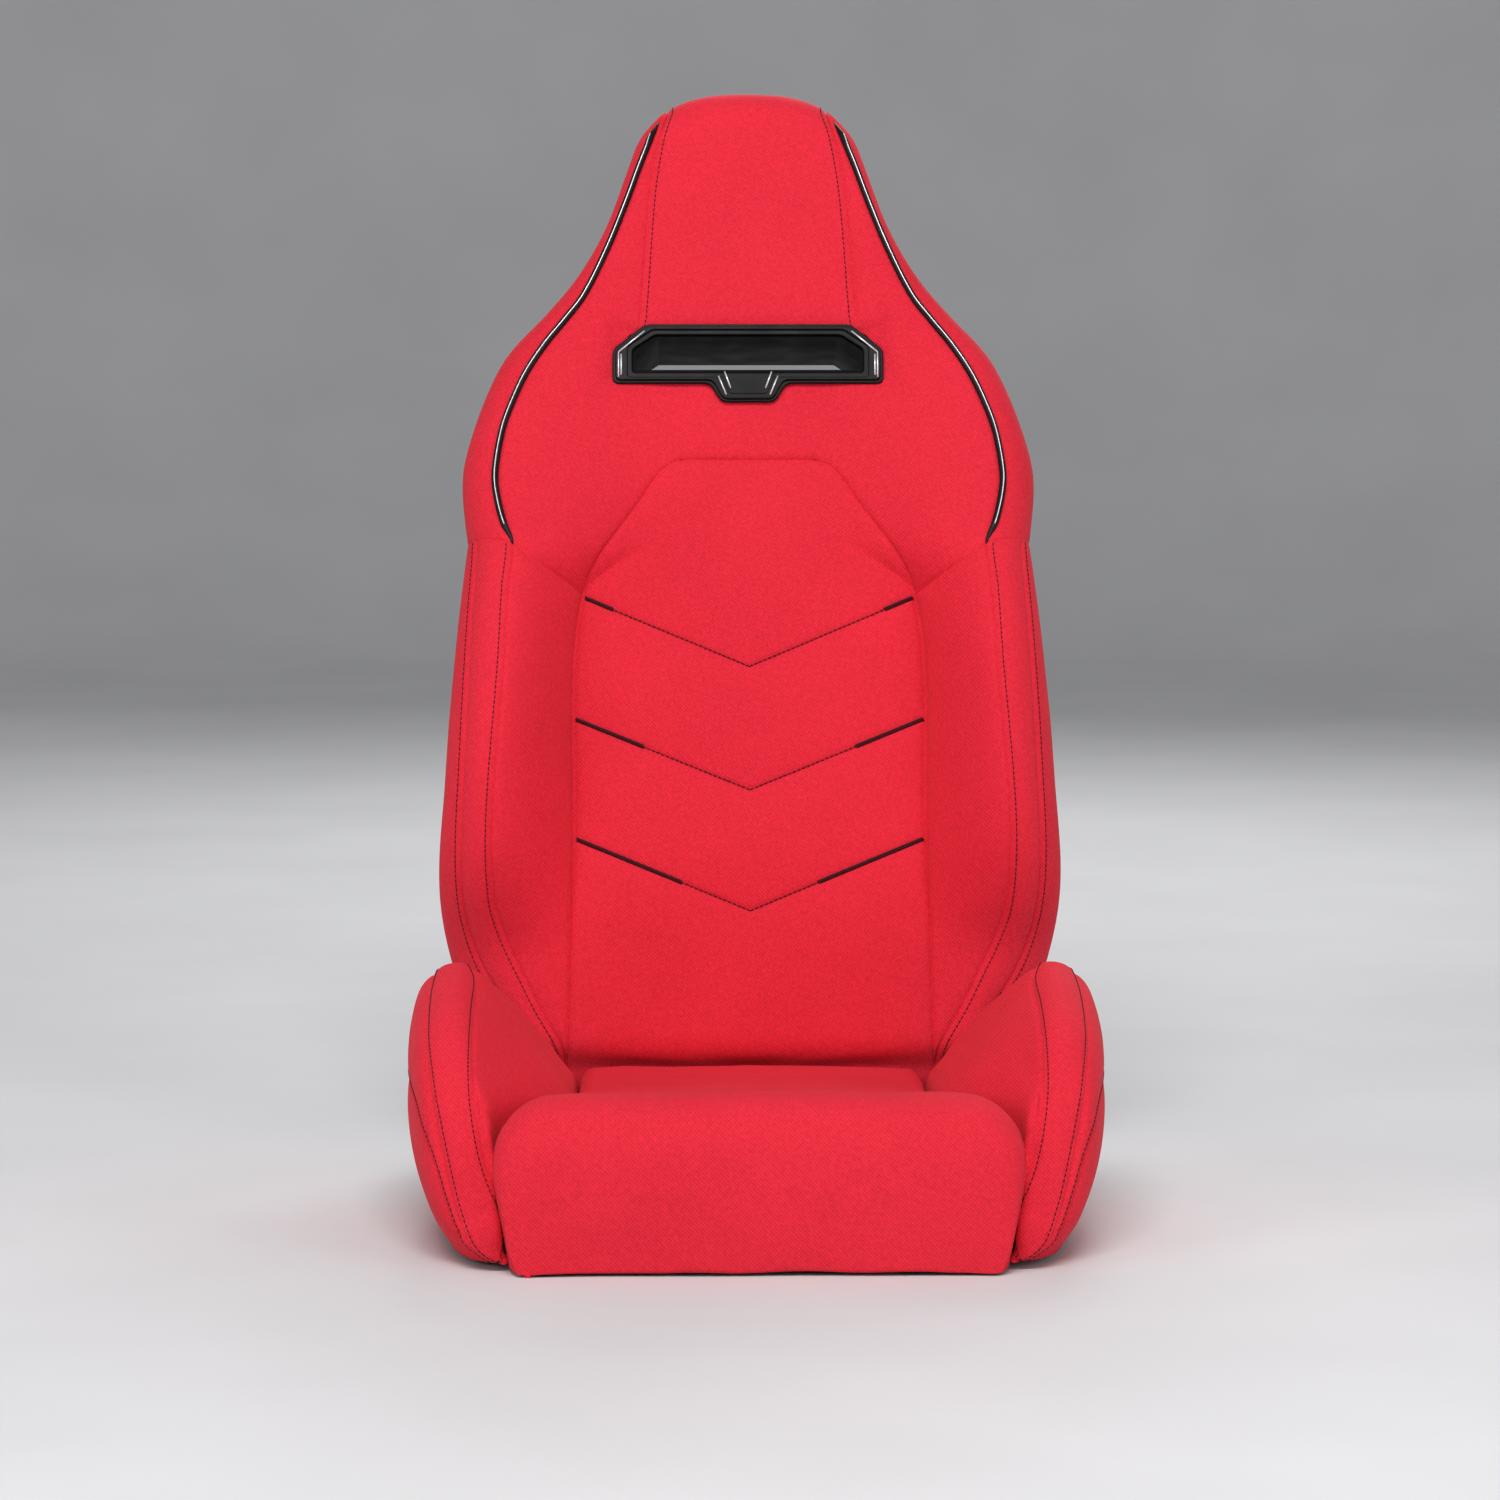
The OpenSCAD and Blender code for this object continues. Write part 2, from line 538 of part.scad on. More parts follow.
module slot_bezel(n0, n1, grow) back_slab(n0, n1) difference() {
    bezel_outline(grow);
    translate([0, slot_v]) slot_outline(3.4, 3.4, 20, 13);
}
module slot_bezel_front() color("#101010") in_back() {
    slot_bezel(53, 56.5, 0);
    slot_bezel(56.5, 59, -3);
}
module slot_bezel_rear() color("#101010") in_back() slot_bezel(-56, -51.1, 0);

// Bright lines set on the front bezel: clipped corners, ends and the tab
module slot_bezel_trims() color("silver") in_back() for (s = [-1, 1]) on_side(s)
    back_slab(59, 59.8) translate([0, slot_v]) {
        trim_line([slot_w / 2 + 16, -22], [slot_w / 2 + 16, 1]);
        trim_line([slot_w / 2 + 16, 1], [slot_w / 2 - 7, 20]);
        trim_line([18.5, -39], [25.5, -19]);
        trim_line([15, -33], [20, -19]);
    }
module trim_line(a, b) translate(a) rotate(atan2(b[1] - a[1], b[0] - a[0]))
    translate([0, -0.7]) square([norm(b - a), 1.4]);

// --- Shoulder piping, swept along the wing edge ---

module shoulder_piping(side) color("#151515") on_side(side) in_back() loft([for (v = upper_v)
    let (u = along(wing_crest, v), n = along(back_front, v) + along(wing_rise, v) + 1.1)
    [for (a = [0 : 45 : 315]) [u + 2.4 * cos(a), -n - 2.4 * sin(a), v]]]);

// --- Release gear: one rod, two levers, two latches ---

module sync_rod() color("silver") x_rod(-lever_x[1] - 3, lever_x[1] + 3, rod_at[1], rod_at[2], rod_d / 2);

module release_lever(side) color("dimgray") on_side(side) difference() {
    x_slab(lever_x[0], lever_x[1]) {
        translate([rod_at[1], rod_at[2]]) circle(11);
        hull() {
            translate([rod_at[1], rod_at[2]]) circle(8);
            translate([150, 74]) circle(7);
        }
        hull() {
            translate([150, 74]) circle(7);
            translate([92, 84]) circle(6);
        }
    }
    x_rod(lever_x[0] - 1, lever_x[1] + 1, rod_at[1], rod_at[2], rod_d / 2 + 0.02);
}

// Moulded grip that sleeves the front of the lever
module lever_grip(side) color("#1c1c1e") on_side(side) difference() {
    hull() {
        x_slab(lever_x[0] + 1.5, lever_x[1] + 9) translate([146, 74.5]) circle(10);
        x_slab(lever_x[0] + 1.5, lever_x[1] + 9) translate([84, 85]) circle(11);
        x_slab(lever_x[0] - 1.5, lever_x[1] + 12) translate([141, 75.5]) circle(7);
        x_slab(lever_x[0] - 1.5, lever_x[1] + 12) translate([89, 84]) circle(8);
    }
    x_slab(lever_x[0] - 0.2, lever_x[1] + 0.2) {
        hull() {
            translate([165, 70]) circle(7.3);
            translate([150, 74]) circle(7.3);
        }
        hull() {
            translate([150, 74]) circle(7.3);
            translate([92, 84]) circle(6.3);
        }
    }
}

// Rocker from the rod to just under the toothed sector, one tooth height out of mesh
module latch(side) color("gray") on_side(side) difference() {
    gap = 0.7;
    tip_r = sector_r + gap;
    union() {
        x_slab(arm_x[0], arm_x[1]) difference() {
            union() {
                hull() {
                    translate([rod_at[1], rod_at[2]]) circle(10);
                    translate([pivot[1] - 12, pivot[2] - tip_r - 8]) circle(5);
                }
                hull() {
                    translate([pivot[1] - 12, pivot[2] - tip_r - 8]) circle(5);
                    translate([pivot[1] + 10, pivot[2] - tip_r - 6]) circle(5);
                }
                translate([pivot[1] - 15, pivot[2] - tip_r - 6]) square([28, 8]);
            }
            translate([pivot[1], pivot[2]]) circle(tip_r + 3);
        }
        for (a = [-15 : tooth_step : 15])
            x_slab(arm_x[0], arm_x[1]) translate([pivot[1], pivot[2]]) rotate(a)
                polygon([[-1.5, -tip_r - 4], [1.5, -tip_r - 4], [0, -tip_r]]);
    }
    x_rod(arm_x[0] - 1, arm_x[1] + 1, rod_at[1], rod_at[2], rod_d / 2 + 0.02);
}

// --- What is drawn ---

base_frame();
mount_channel(1);  // mount_channel_left
mount_channel(-1);  // mount_channel_right
mount_weld_nuts();
seat_suspension_wires();
seat_suspension_hooks();
cushion_pad();
base_bolster(1);  // base_bolster_left
base_bolster(-1);  // base_bolster_right
recliner_plate(1);  // recliner_plate_left
recliner_plate(-1);  // recliner_plate_right
recliner_plate_bolts();
pivot_bolt(1);  // pivot_bolt_left
pivot_bolt(-1);  // pivot_bolt_right
recliner_cover(1);  // recliner_cover_left
recliner_cover(-1);  // recliner_cover_right
cover_screws();
recline_spring(1);  // recline_spring_left
recline_spring(-1);  // recline_spring_right
rod_bush(1);  // rod_bush_left
rod_bush(-1);  // rod_bush_right
back_frame();
head_loop();
recliner_arm(1);  // recliner_arm_left
recliner_arm(-1);  // recliner_arm_right
recliner_arm_bolts();
pivot_bush(1);  // pivot_bush_left
pivot_bush(-1);  // pivot_bush_right
back_suspension_wires();
back_suspension_hooks();
back_center_pad();
back_bolster(1);  // back_bolster_left
back_bolster(-1);  // back_bolster_right
back_upper_pad();
back_rear_shell();
rear_shell_screws();
slot_liner();
slot_bezel_front();
slot_bezel_rear();
slot_bezel_trims();
shoulder_piping(1);  // shoulder_piping_left
shoulder_piping(-1);  // shoulder_piping_right
sync_rod();
release_lever(1);  // release_lever_left
release_lever(-1);  // release_lever_right
lever_grip(1);  // lever_grip_left
lever_grip(-1);  // lever_grip_right
latch(1);  // latch_left
latch(-1);  // latch_right
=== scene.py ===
import bpy
import json
import math
import numpy as np
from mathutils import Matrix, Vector, noise
from mathutils.bvhtree import BVHTree


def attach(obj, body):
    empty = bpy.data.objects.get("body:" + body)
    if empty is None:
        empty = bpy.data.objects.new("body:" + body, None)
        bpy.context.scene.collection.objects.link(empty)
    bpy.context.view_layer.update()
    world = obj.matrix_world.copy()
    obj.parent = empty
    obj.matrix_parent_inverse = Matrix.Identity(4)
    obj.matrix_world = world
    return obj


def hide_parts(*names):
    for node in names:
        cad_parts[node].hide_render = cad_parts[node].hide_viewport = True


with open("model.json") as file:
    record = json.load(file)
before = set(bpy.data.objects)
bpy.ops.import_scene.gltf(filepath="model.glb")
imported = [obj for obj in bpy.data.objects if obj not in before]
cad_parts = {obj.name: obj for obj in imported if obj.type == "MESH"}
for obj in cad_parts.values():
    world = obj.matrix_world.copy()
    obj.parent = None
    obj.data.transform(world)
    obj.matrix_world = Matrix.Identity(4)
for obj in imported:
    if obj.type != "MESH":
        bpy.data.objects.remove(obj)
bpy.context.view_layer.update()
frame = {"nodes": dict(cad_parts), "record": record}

# ---- tables, in millimetres
# The backrest is shaped upright about the recline pivot: u across, v up, n forward. Over v, the tables give
# the outline's half width, the middle of the front face, the bolsters' rise over it, the half width at their
# crest and at the insert's edge, the depth of the outer rounding and the angle of the outer side seam.
PIVOT = (0.0, 253.0, 112.0)
LEAN = math.radians(14)
SLOT_V = 603  # middle of the harness slot
INSERT_V = -60  # lower end of the insert
SKIRT_V = -40  # lower end of the panels over the bolsters
SIDE_V = 29  # lower end of the outer side panels
FOOT_N = 63  # how far forward the lower end of the front face is
WALL_V = 384  # upper end of the bolsters' inner walls, at the insert
WING_V = 422  # lower end of the shoulders' piping
CHEST_V = 508  # upper edge of the insert
NECK_V = 582  # above it the headrest panel lies between the shoulder panels
HEAD_V = 622  # lower end of the headrest panel
CROWN_V = 836  # upper end of the shoulder panels
CROWN_ROUND = 32  # radius of the rounded crown, up from its widest line
CROWN_N = 6  # where that line is between the front and the rear
REAR_N = -30  # rear of the covers
HEAD_RUN = 342  # length of the headrest panel from its foot over the top to its end behind
HEAD_TAIL = 25  # how much of it hangs down behind
TUCK_REACH, TUCK_DEPTH = 1.3, 5.0  # how far the cloth goes across and in behind a seam
THICK = 0.005  # thickness of cloth and lining together, in metres

OUTLINE = [(-60, 190), (0, 218), (30, 242), (60, 260), (117, 270), (210, 265), (320, 257), (413, 249),
           (490, 252), (530, 244), (575, 229), (607, 212), (643, 179), (677, 151), (723, 126), (783, 105),
           (806, 97), (820, 89), (830, 81), (838, 73.5)]
FRONT = [(0, FOOT_N), (100, 70), (200, 69), (300, 64), (400, 57), (500, 53), (600, 50), (700, 51),
         (780, 45), (818, 40)]
RISE = [(20, 0), (60, 2), (80, 10), (100, 25), (125, 43), (155, 59), (205, 74), (270, 79), (340, 73),
        (400, 62), (440, 50), (490, 38), (550, 24), (610, 12), (680, 5), (760, 2), (850, 0)]
CREST = [(-60, 161), (-22, 163), (10, 181), (42, 197), (75, 213), (103, 222), (165, 224), (308, 214),
         (380, 211), (422, 208), (440, 216), (470, 223), (490, 224), (530, 218), (560, 208), (585, 197),
         (611, 181), (633, 164), (656, 147), (700, 126), (744, 109), (780, 96.5), (813, 84), (830, 78),
         (838, 73)]
INSERT = [(-60, 160), (-31, 160), (165, 154), (382, 147), (480, 90), (497, 79), (504, 71), (508, 60),
          (540, 78), (562, 98), (575, 109), (618, 109), (626, 100), (634, 97), (753, 88), (800, 81),
          (838, 72)]
ROUND = [(20, 45), (200, 52), (420, 46), (560, 36), (700, 24), (806, 22)]
SEAM2 = [(0, 36), (150, 38), (415, 53)]
CHEVRONS = [(101, 165), (208, 272), (319, 382)]
ACCENTS = [103, 68, 30]


def along(table, s):
    """Value at s on a smooth curve through (s, value) pairs."""
    i = 0
    while i < len(table) - 2 and s > table[i + 1][0]:
        i += 1

    def slope(k):
        a = max(k - 1, 0)
        b = min(k + 1, len(table) - 1)
        return (table[b][1] - table[a][1]) / (table[b][0] - table[a][0])

    h = table[i + 1][0] - table[i][0]
    x = min(max((s - table[i][0]) / h, 0.0), 1.0)
    return ((2 * x**3 - 3 * x**2 + 1) * table[i][1] + (x**3 - 2 * x**2 + x) * h * slope(i)
            + (3 * x**2 - 2 * x**3) * table[i + 1][1] + (x**3 - x**2) * h * slope(i + 1))


def smooth(x, a, b):
    t = min(max((x - a) / (b - a), 0.0), 1.0)
    return t * t * (3 - 2 * t)


def lerp(a, b, t):
    return a + (b - a) * t


def lengths(p):
    """Distance of every point of a path from its start."""
    return np.concatenate([[0], np.cumsum(np.linalg.norm(np.diff(p, axis=0), axis=1))])


def points_at(x, xs, p):
    """Points at the distances x along a path of points p at the distances xs."""
    return np.stack([np.interp(x, xs, p[:, k]) for k in range(3)], axis=-1)


def back_to_world(p):
    u, v, n = p[..., 0], p[..., 1], p[..., 2]
    y = PIVOT[1] + v * math.sin(LEAN) - n * math.cos(LEAN)
    z = PIVOT[2] + v * math.cos(LEAN) + n * math.sin(LEAN)
    return np.stack([u, y, z], axis=-1) / 1000


def fractions(length, step, fine=(1.0, 2.2, 4.0, 7.0)):
    """Places from 0 to 1, close together near both ends and even between, with one at the middle."""
    ends = [f / length for f in fine if f < length * 0.3]
    start = ends[-1] if ends else 0.0
    count = max(2, 2 * round((1 - 2 * start) * length / step / 2))
    middle = [start + (1 - 2 * start) * i / count for i in range(count + 1)]
    return sorted(set([0.0, 1.0] + ends + middle + [1 - e for e in ends]))


# ---- backrest surface
def top_arc(u):
    """Height of the crown of the head over u, and the height where its rounding starts."""
    peak = 851.5 - 13.0 * (min(abs(u), 90) / 73) ** 3
    return peak, peak - CROWN_ROUND


def bezel_gap(u, v):
    """How far (u, v) is outside the bezel's outline."""
    tab = max(abs(u) - 20, abs(v - SLOT_V + 20) - 22, 0)
    return min(max(abs(u) - 115, abs(v - SLOT_V) - 22, 0), tab)


def front_n(u, v):
    """Distance of the front face from the pivot plane."""
    a = abs(u)
    if v < 0:
        roll = FOOT_N * math.sqrt(max(0.0, 1 - (v / 66) ** 2))
        tuck = min(1.0, max(0.0, (-4 - v) / 26))
        return min(roll, FOOT_N - 20 * (1 - math.sqrt(1 - tuck * tuck)))
    f = along(FRONT, min(v, 818))
    inner = lerp(along(INSERT, v), 0.3 * along(CREST, v), smooth(v, 385, 470))
    crest = along(CREST, v)
    x = min(max((a - inner) / max(crest - inner, 1.0), 0.0), 1.0)
    wall = 1 - (1 - x) ** 1.45
    wing = x * x * (3 - 2 * x)
    n = f + along(RISE, v) * lerp(wall, wing, smooth(v, 375, 465))
    gap = bezel_gap(a, v)
    n = min(n, 51.5 + 0.3 * gap + 0.004 * gap**2)
    peak, start = top_arc(a)
    if v > start:
        k = min(1.0, (v - start) / (peak - start))
        n = CROWN_N + (n - CROWN_N) * math.sqrt(max(0.0, 1 - k * k))
    return n


ROUND_STEPS = 16  # steps round the quarter turn from the crest outward


def section(v):
    """The side at v, from the bolster's crest round to the rear: (u, n) points and their distances."""
    crest = along(CREST, v)
    half = max(along(OUTLINE, v), crest + 0.5)
    top = front_n(crest, v)
    rear = REAR_N
    peak, start = top_arc(crest)
    if v > start:
        k = min(1.0, (v - start) / (peak - start))
        rear = CROWN_N - (CROWN_N - REAR_N) * math.sqrt(max(0.0, 1 - k * k))
    h1 = min(along(ROUND, v), 0.48 * (top - rear))
    r = min(12.0, 0.4 * (top - rear), 0.9 * (half - crest) + 0.1)
    pts = []
    for i in range(ROUND_STEPS + 1):
        a = math.radians(90 * i / ROUND_STEPS)
        pts.append((crest + (half - crest) * math.sin(a), top - h1 * (1 - math.cos(a))))
    for i in range(1, 6):
        pts.append((half, lerp(top - h1, rear + r, i / 5)))
    for i in range(1, 6):
        a = math.radians(90 * i / 5)
        pts.append((half - r * (1 - math.cos(a)), rear + r * (1 - math.sin(a))))
    end = lerp(lerp(207, half - 34, smooth(v, 520, 600)), 56, smooth(v, 740, 775))
    pts.append((min(end, half - r), rear + 5 * smooth(v, 795, 806)))
    if v < 120:
        pts.append((min(end, half - r), lerp(8.0, rear, smooth(v, 80, 119))))
    p = np.array(pts)
    return p, lengths(p)


def seam2_at(v):
    """Arc distance from the crest to the outer side seam."""
    p, s = section(v)
    return float(np.interp(along(SEAM2, v) / 90 * ROUND_STEPS, range(ROUND_STEPS + 1), s[:ROUND_STEPS + 1]))


def section_at(v, s):
    """The section's (u, n) at a distance s from the crest."""
    p, d = section(v)
    return float(np.interp(s, d, p[:, 0])), float(np.interp(s, d, p[:, 1]))


# ---- meshes
def normals(p, centre):
    """Unit normals of a grid of points, pointing away from centre(p)."""
    n = np.cross(np.gradient(p, axis=1), np.gradient(p, axis=0))
    size = np.linalg.norm(n, axis=-1, keepdims=True)
    away = p - centre(p)
    if np.sum(n * away) < 0:
        n = -n
    away /= np.maximum(np.linalg.norm(away, axis=-1, keepdims=True), 1e-9)
    return np.where(size > 1e-6, n / np.maximum(size, 1e-9), away)


def relief(d, crown, groove, reach=26.0, width=2.3):
    """Height over a seam's level at distance d: a crease at the seam and a soft crown away from it."""
    return crown * (1 - np.exp(-d / reach)) - groove * np.exp(-(d / width) ** 1.4)


def pucker(p, d, size=0.35, grain=0.11, fade=9.0):
    """Small gathers that the stitching draws into the cloth beside a seam."""
    out = np.zeros(p.shape[:-1])
    for i in np.ndindex(out.shape):
        if d[i] < 4 * fade:
            out[i] = noise.noise(Vector(p[i] * grain)) * size * math.exp(-d[i] / fade)
    return out


def softness(p, size=0.9, grain=0.012):
    """Slow swells of foam under the cloth."""
    out = np.zeros(p.shape[:-1])
    for i in np.ndindex(out.shape):
        out[i] = noise.noise(Vector(p[i] * grain)) * size
    return out


def finish_object(name, mesh, body, material):
    """Object with one material that rides on a body."""
    ob = bpy.data.objects.new(name, mesh)
    ob.data.materials.append(material)
    bpy.context.scene.collection.objects.link(ob)
    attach(ob, body)
    return ob


def mesh_object(name, blocks, body, material):
    """One object from grids of world points, welded where they meet."""
    verts, faces, seen = [], [], {}
    for g in blocks:
        index = np.empty(g.shape[:2], int)
        for i in np.ndindex(g.shape[:2]):
            key = tuple(np.round(g[i] * 20000).astype(int))
            if key not in seen:
                seen[key] = len(verts)
                verts.append(g[i])
            index[i] = seen[key]
        for i in range(g.shape[0] - 1):
            for j in range(g.shape[1] - 1):
                quad = dict.fromkeys((index[i, j], index[i, j + 1], index[i + 1, j + 1], index[i + 1, j]))
                if len(quad) > 2:
                    faces.append(list(quad))
    me = bpy.data.meshes.new(name)
    me.from_pydata([tuple(v) for v in verts], [], faces)
    me.update()
    ob = finish_object(name, me, body, material)
    me.shade_smooth()
    return ob


def oriented(g, n):
    """Turns a grid's winding so that its faces look along the normals n."""
    k = (g.shape[0] // 2, g.shape[1] // 2)
    f = np.cross(g[k[0], k[1] + 1] - g[k], g[k[0] + 1, k[1]] - g[k])
    return g if np.dot(f, n[k]) > 0 else g[:, ::-1]


def relaxed(q, weight, times=8):
    """Evens out the inside of a grid of points by a weight from 0 to 1."""
    for _ in range(times):
        q = q.copy()
        mean = (q[:-2, 1:-1] + q[2:, 1:-1] + q[1:-1, :-2] + q[1:-1, 2:]) / 4
        q[1:-1, 1:-1] += (mean - q[1:-1, 1:-1]) * weight[1:-1, 1:-1, None] * 0.6
    return q


def line_distance(u, v, line):
    """Distance of every (u, v) from a polyline."""
    best = np.full(u.shape, 1e9)
    for (x0, y0), (x1, y1) in zip(line[:-1], line[1:]):
        dx, dy = x1 - x0, y1 - y0
        t = np.clip(((u - x0) * dx + (v - y0) * dy) / (dx * dx + dy * dy + 1e-12), 0, 1)
        best = np.minimum(best, np.hypot(u - x0 - t * dx, v - y0 - t * dy))
    return best


def curve_points(table, a, b, step=8):
    """Points (value, s) along a table between a and b."""
    k = max(2, int(abs(b - a) / step))
    return [(along(table, lerp(a, b, i / k)), lerp(a, b, i / k)) for i in range(k + 1)]


def mirrored(line):
    return [(-u, v) for u, v in line]


# seams on the front face as (u, v) lines, each with the depth of its crease
INSERT_EDGE = curve_points(INSERT, INSERT_V, CHEST_V, 12) + [(30, CHEST_V), (0, CHEST_V)]
WING_EDGE = [(along(INSERT, WALL_V), WALL_V), (165, 394), (187, 406), (208, WING_V)]
INNER_SEAM = curve_points(CREST, INSERT_V, WING_V, 12)
PIPING = curve_points(CREST, WING_V, 822, 8)
HEAD_SEAM = curve_points(INSERT, 634, 838, 12)
FRONT_SEAMS = []
for tip, edge in CHEVRONS:
    half = along(INSERT, edge)
    FRONT_SEAMS.append(([(-half, edge), (0, tip), (half, edge)], 1.3))
for line, depth in ((INSERT_EDGE, 2.6), (WING_EDGE, 2.2), (INNER_SEAM, 1.8), (PIPING, 3.0),
                    (HEAD_SEAM, 1.6)):
    FRONT_SEAMS += [(line, depth), (mirrored(line), depth)]


def seams_near(u, v):
    """Distance of every (u, v) from the front face's nearest seam, and the depth of its crease there."""
    near = np.full(u.shape, 1e9)
    crease = np.zeros(u.shape)
    for line, depth in FRONT_SEAMS:
        d = line_distance(u, v, line)
        near = np.minimum(near, d)
        crease = np.maximum(crease, depth * np.exp(-(d / 2.3) ** 1.4))
    return near, crease


def front_relief(p, crown):
    """How far the cloth stands off the front face: crown between the seams, creases on them."""
    near, crease = seams_near(p[..., 0], p[..., 1])
    gap = np.vectorize(bezel_gap)(p[..., 0], p[..., 1])
    lift = (crown * (1 - np.exp(-near / 24)) - crease) * (1 - np.exp(-gap / 12))
    return lift + pucker(p, near) + softness(p)


def swollen(p, n, d, lift, fade=1.0):
    """A panel's points, moved out by its relief and by gathers and swells of the cloth."""
    return p + n * ((lift + pucker(p, d) + softness(p)) * fade)[..., None]


def axis_of_back(p):
    """A point inside the backrest behind every point of p."""
    c = p.copy()
    c[..., 0] *= 0.55
    c[..., 2] = -15
    return c


def front_normal(u, v, e=1.2):
    """Unit normal of the smooth front face, from heights e away on each side."""
    n = np.array([front_n(u - e, v) - front_n(u + e, v), front_n(u, v - e) - front_n(u, v + e), 2 * e])
    return n / np.linalg.norm(n)


def tucked(q, n, first=0, last=0, bottom=0, top=0):
    """Turns a panel's edges in behind its seams. first and last may be masks up its side columns."""
    for mask, across, far in ((first, 1, 0), (last, 1, 1), (bottom, 0, 0), (top, 0, 1)):
        if np.max(mask) == 0:
            continue
        if across:
            q, n = q.swapaxes(0, 1), n.swapaxes(0, 1)
        if far:
            q, n = q[::-1], n[::-1]
        out = q[0] - q[1]
        out = out / np.maximum(np.linalg.norm(out, axis=-1, keepdims=True), 1e-6)
        k = (np.ones(len(out)) * mask)[:, None]
        a = q[0] + (out * 0.7 * TUCK_REACH - n[0] * 0.25 * TUCK_DEPTH) * k
        b = q[0] + (out * TUCK_REACH - n[0] * TUCK_DEPTH) * k
        q = np.concatenate([b[None], a[None], q])
        n = np.concatenate([n[:1], n[:1], n])
        if far:
            q, n = q[::-1], n[::-1]
        if across:
            q, n = q.swapaxes(0, 1), n.swapaxes(0, 1)
    return q, n


def front_block(rows, crown):
    """Cloth points and normals on the front face from rows of (u, v)."""
    p = np.array([[(u, v, front_n(u, v)) for u, v in row] for row in rows])
    n = np.array([[front_normal(u, v) for u, v in row] for row in rows])
    return p + n * front_relief(p, crown)[..., None], n


def placed(q, n, s=1):
    """World points of a grid and their unit normals, mirrored to the right where s is -1."""
    flip = np.array([s, 1, 1])
    g = back_to_world(q * flip)
    t = back_to_world(q * flip + n * flip) - g
    return g, t / np.linalg.norm(t, axis=-1, keepdims=True)


def back_block(q, n, s=1):
    return oriented(*placed(q, n, s))


# ---- materials
class Nodes:
    """A new procedural material with a few short helpers."""

    def __init__(self, name, **sockets):
        self.mat = bpy.data.materials.new(name)
        self.mat.use_nodes = True
        self.tree = self.mat.node_tree
        self.bsdf = self.tree.nodes["Principled BSDF"]
        self.coords = self.tree.nodes.new("ShaderNodeTexCoord")
        for key, value in sockets.items():
            self.bsdf.inputs[key.replace("_", " ")].default_value = value

    def add(self, kind, **values):
        node = self.tree.nodes.new(kind)
        for key, value in values.items():
            if key in node.inputs:
                node.inputs[key].default_value = value
            else:
                setattr(node, key, value)
        return node

    def link(self, a, b):
        self.tree.links.new(a, b)

    def noise(self, scale, detail=3.0, stretch=None):
        node = self.add("ShaderNodeTexNoise", Scale=scale, Detail=detail)
        source = self.coords.outputs["Object"]
        if stretch:
            mapping = self.add("ShaderNodeMapping")
            mapping.inputs["Scale"].default_value = stretch
            self.link(source, mapping.inputs["Vector"])
            source = mapping.outputs["Vector"]
        self.link(source, node.inputs["Vector"])
        return node.outputs["Fac"]

    def dot(self, source, direction):
        node = self.add("ShaderNodeVectorMath", operation="DOT_PRODUCT")
        node.inputs[1].default_value = direction
        self.link(self.coords.outputs[source], node.inputs[0])
        return node.outputs["Value"]

    def bands(self, pitch, direction):
        """Waves of one pitch in metres across a direction in the object's space. They fade out where the
        surface turns to face the direction and would stretch them."""
        way = Vector(direction).normalized()
        facing = self.math("ABSOLUTE", self.dot("Normal", way), 0.0)
        waves = self.math("SINE", self.dot("Object", way * (2 * math.pi / pitch)), 0.0)
        return self.math("MULTIPLY", waves, self.spread(facing, 0.45, 0.8, 1.0, 0.15))

    def math(self, operation, a, b):
        node = self.add("ShaderNodeMath", operation=operation)
        for k, x in enumerate((a, b)):
            if isinstance(x, (int, float)):
                node.inputs[k].default_value = x
            else:
                self.link(x, node.inputs[k])
        return node.outputs[0]

    def mix_colour(self, factor, a, b):
        node = self.add("ShaderNodeMix", data_type="RGBA")
        self.link(factor, node.inputs["Factor"])
        node.inputs["A"].default_value = (*a, 1)
        node.inputs["B"].default_value = (*b, 1)
        self.link(node.outputs["Result"], self.bsdf.inputs["Base Color"])

    def spread(self, value, low, high, out_low=0.0, out_high=1.0):
        node = self.add("ShaderNodeMapRange")
        for key, x in (("From Min", low), ("From Max", high), ("To Min", out_low), ("To Max", out_high)):
            node.inputs[key].default_value = x
        self.link(value, node.inputs["Value"])
        return node.outputs["Result"]

    def total(self, *terms):
        """Sum of (value, weight) pairs."""
        out = 0.0
        for value, weight in terms:
            out = self.math("ADD", self.math("MULTIPLY", value, weight), out)
        return out

    def bump(self, height, strength, distance):
        node = self.add("ShaderNodeBump")
        node.inputs["Strength"].default_value = strength
        node.inputs["Distance"].default_value = distance
        self.link(height, node.inputs["Height"])
        self.link(node.outputs["Normal"], self.bsdf.inputs["Normal"])

    def rough(self, value, low, high):
        self.link(self.spread(value, 0.3, 0.7, low, high), self.bsdf.inputs["Roughness"])


def twill(name, dark, light, pitch=0.0024):
    """Fine diagonal weave: ribs along one diagonal, cut by threads across them."""
    m = Nodes(name, Specular_IOR_Level=0.18, Sheen_Weight=0.06, Sheen_Roughness=0.5,
              Sheen_Tint=(1.0, 0.45, 0.45, 1))
    weave = m.total((m.bands(pitch, (1, 0.12, 1)), 0.5), (m.bands(pitch * 0.42, (1, -0.2, -1)), 0.28))
    fuzz = m.noise(900, 2)
    slub = m.noise(360, 1.5)
    m.bump(m.total((weave, 1.0), (fuzz, 0.8), (slub, 0.8)), 0.5, 0.0004)
    tone = m.total((weave, 0.32), (m.noise(9, 3), 0.4), (fuzz, 0.45), (slub, 0.8))
    m.mix_colour(m.spread(tone, 0.38, 1.27), dark, light)
    m.rough(fuzz, 0.78, 0.92)
    return m.mat


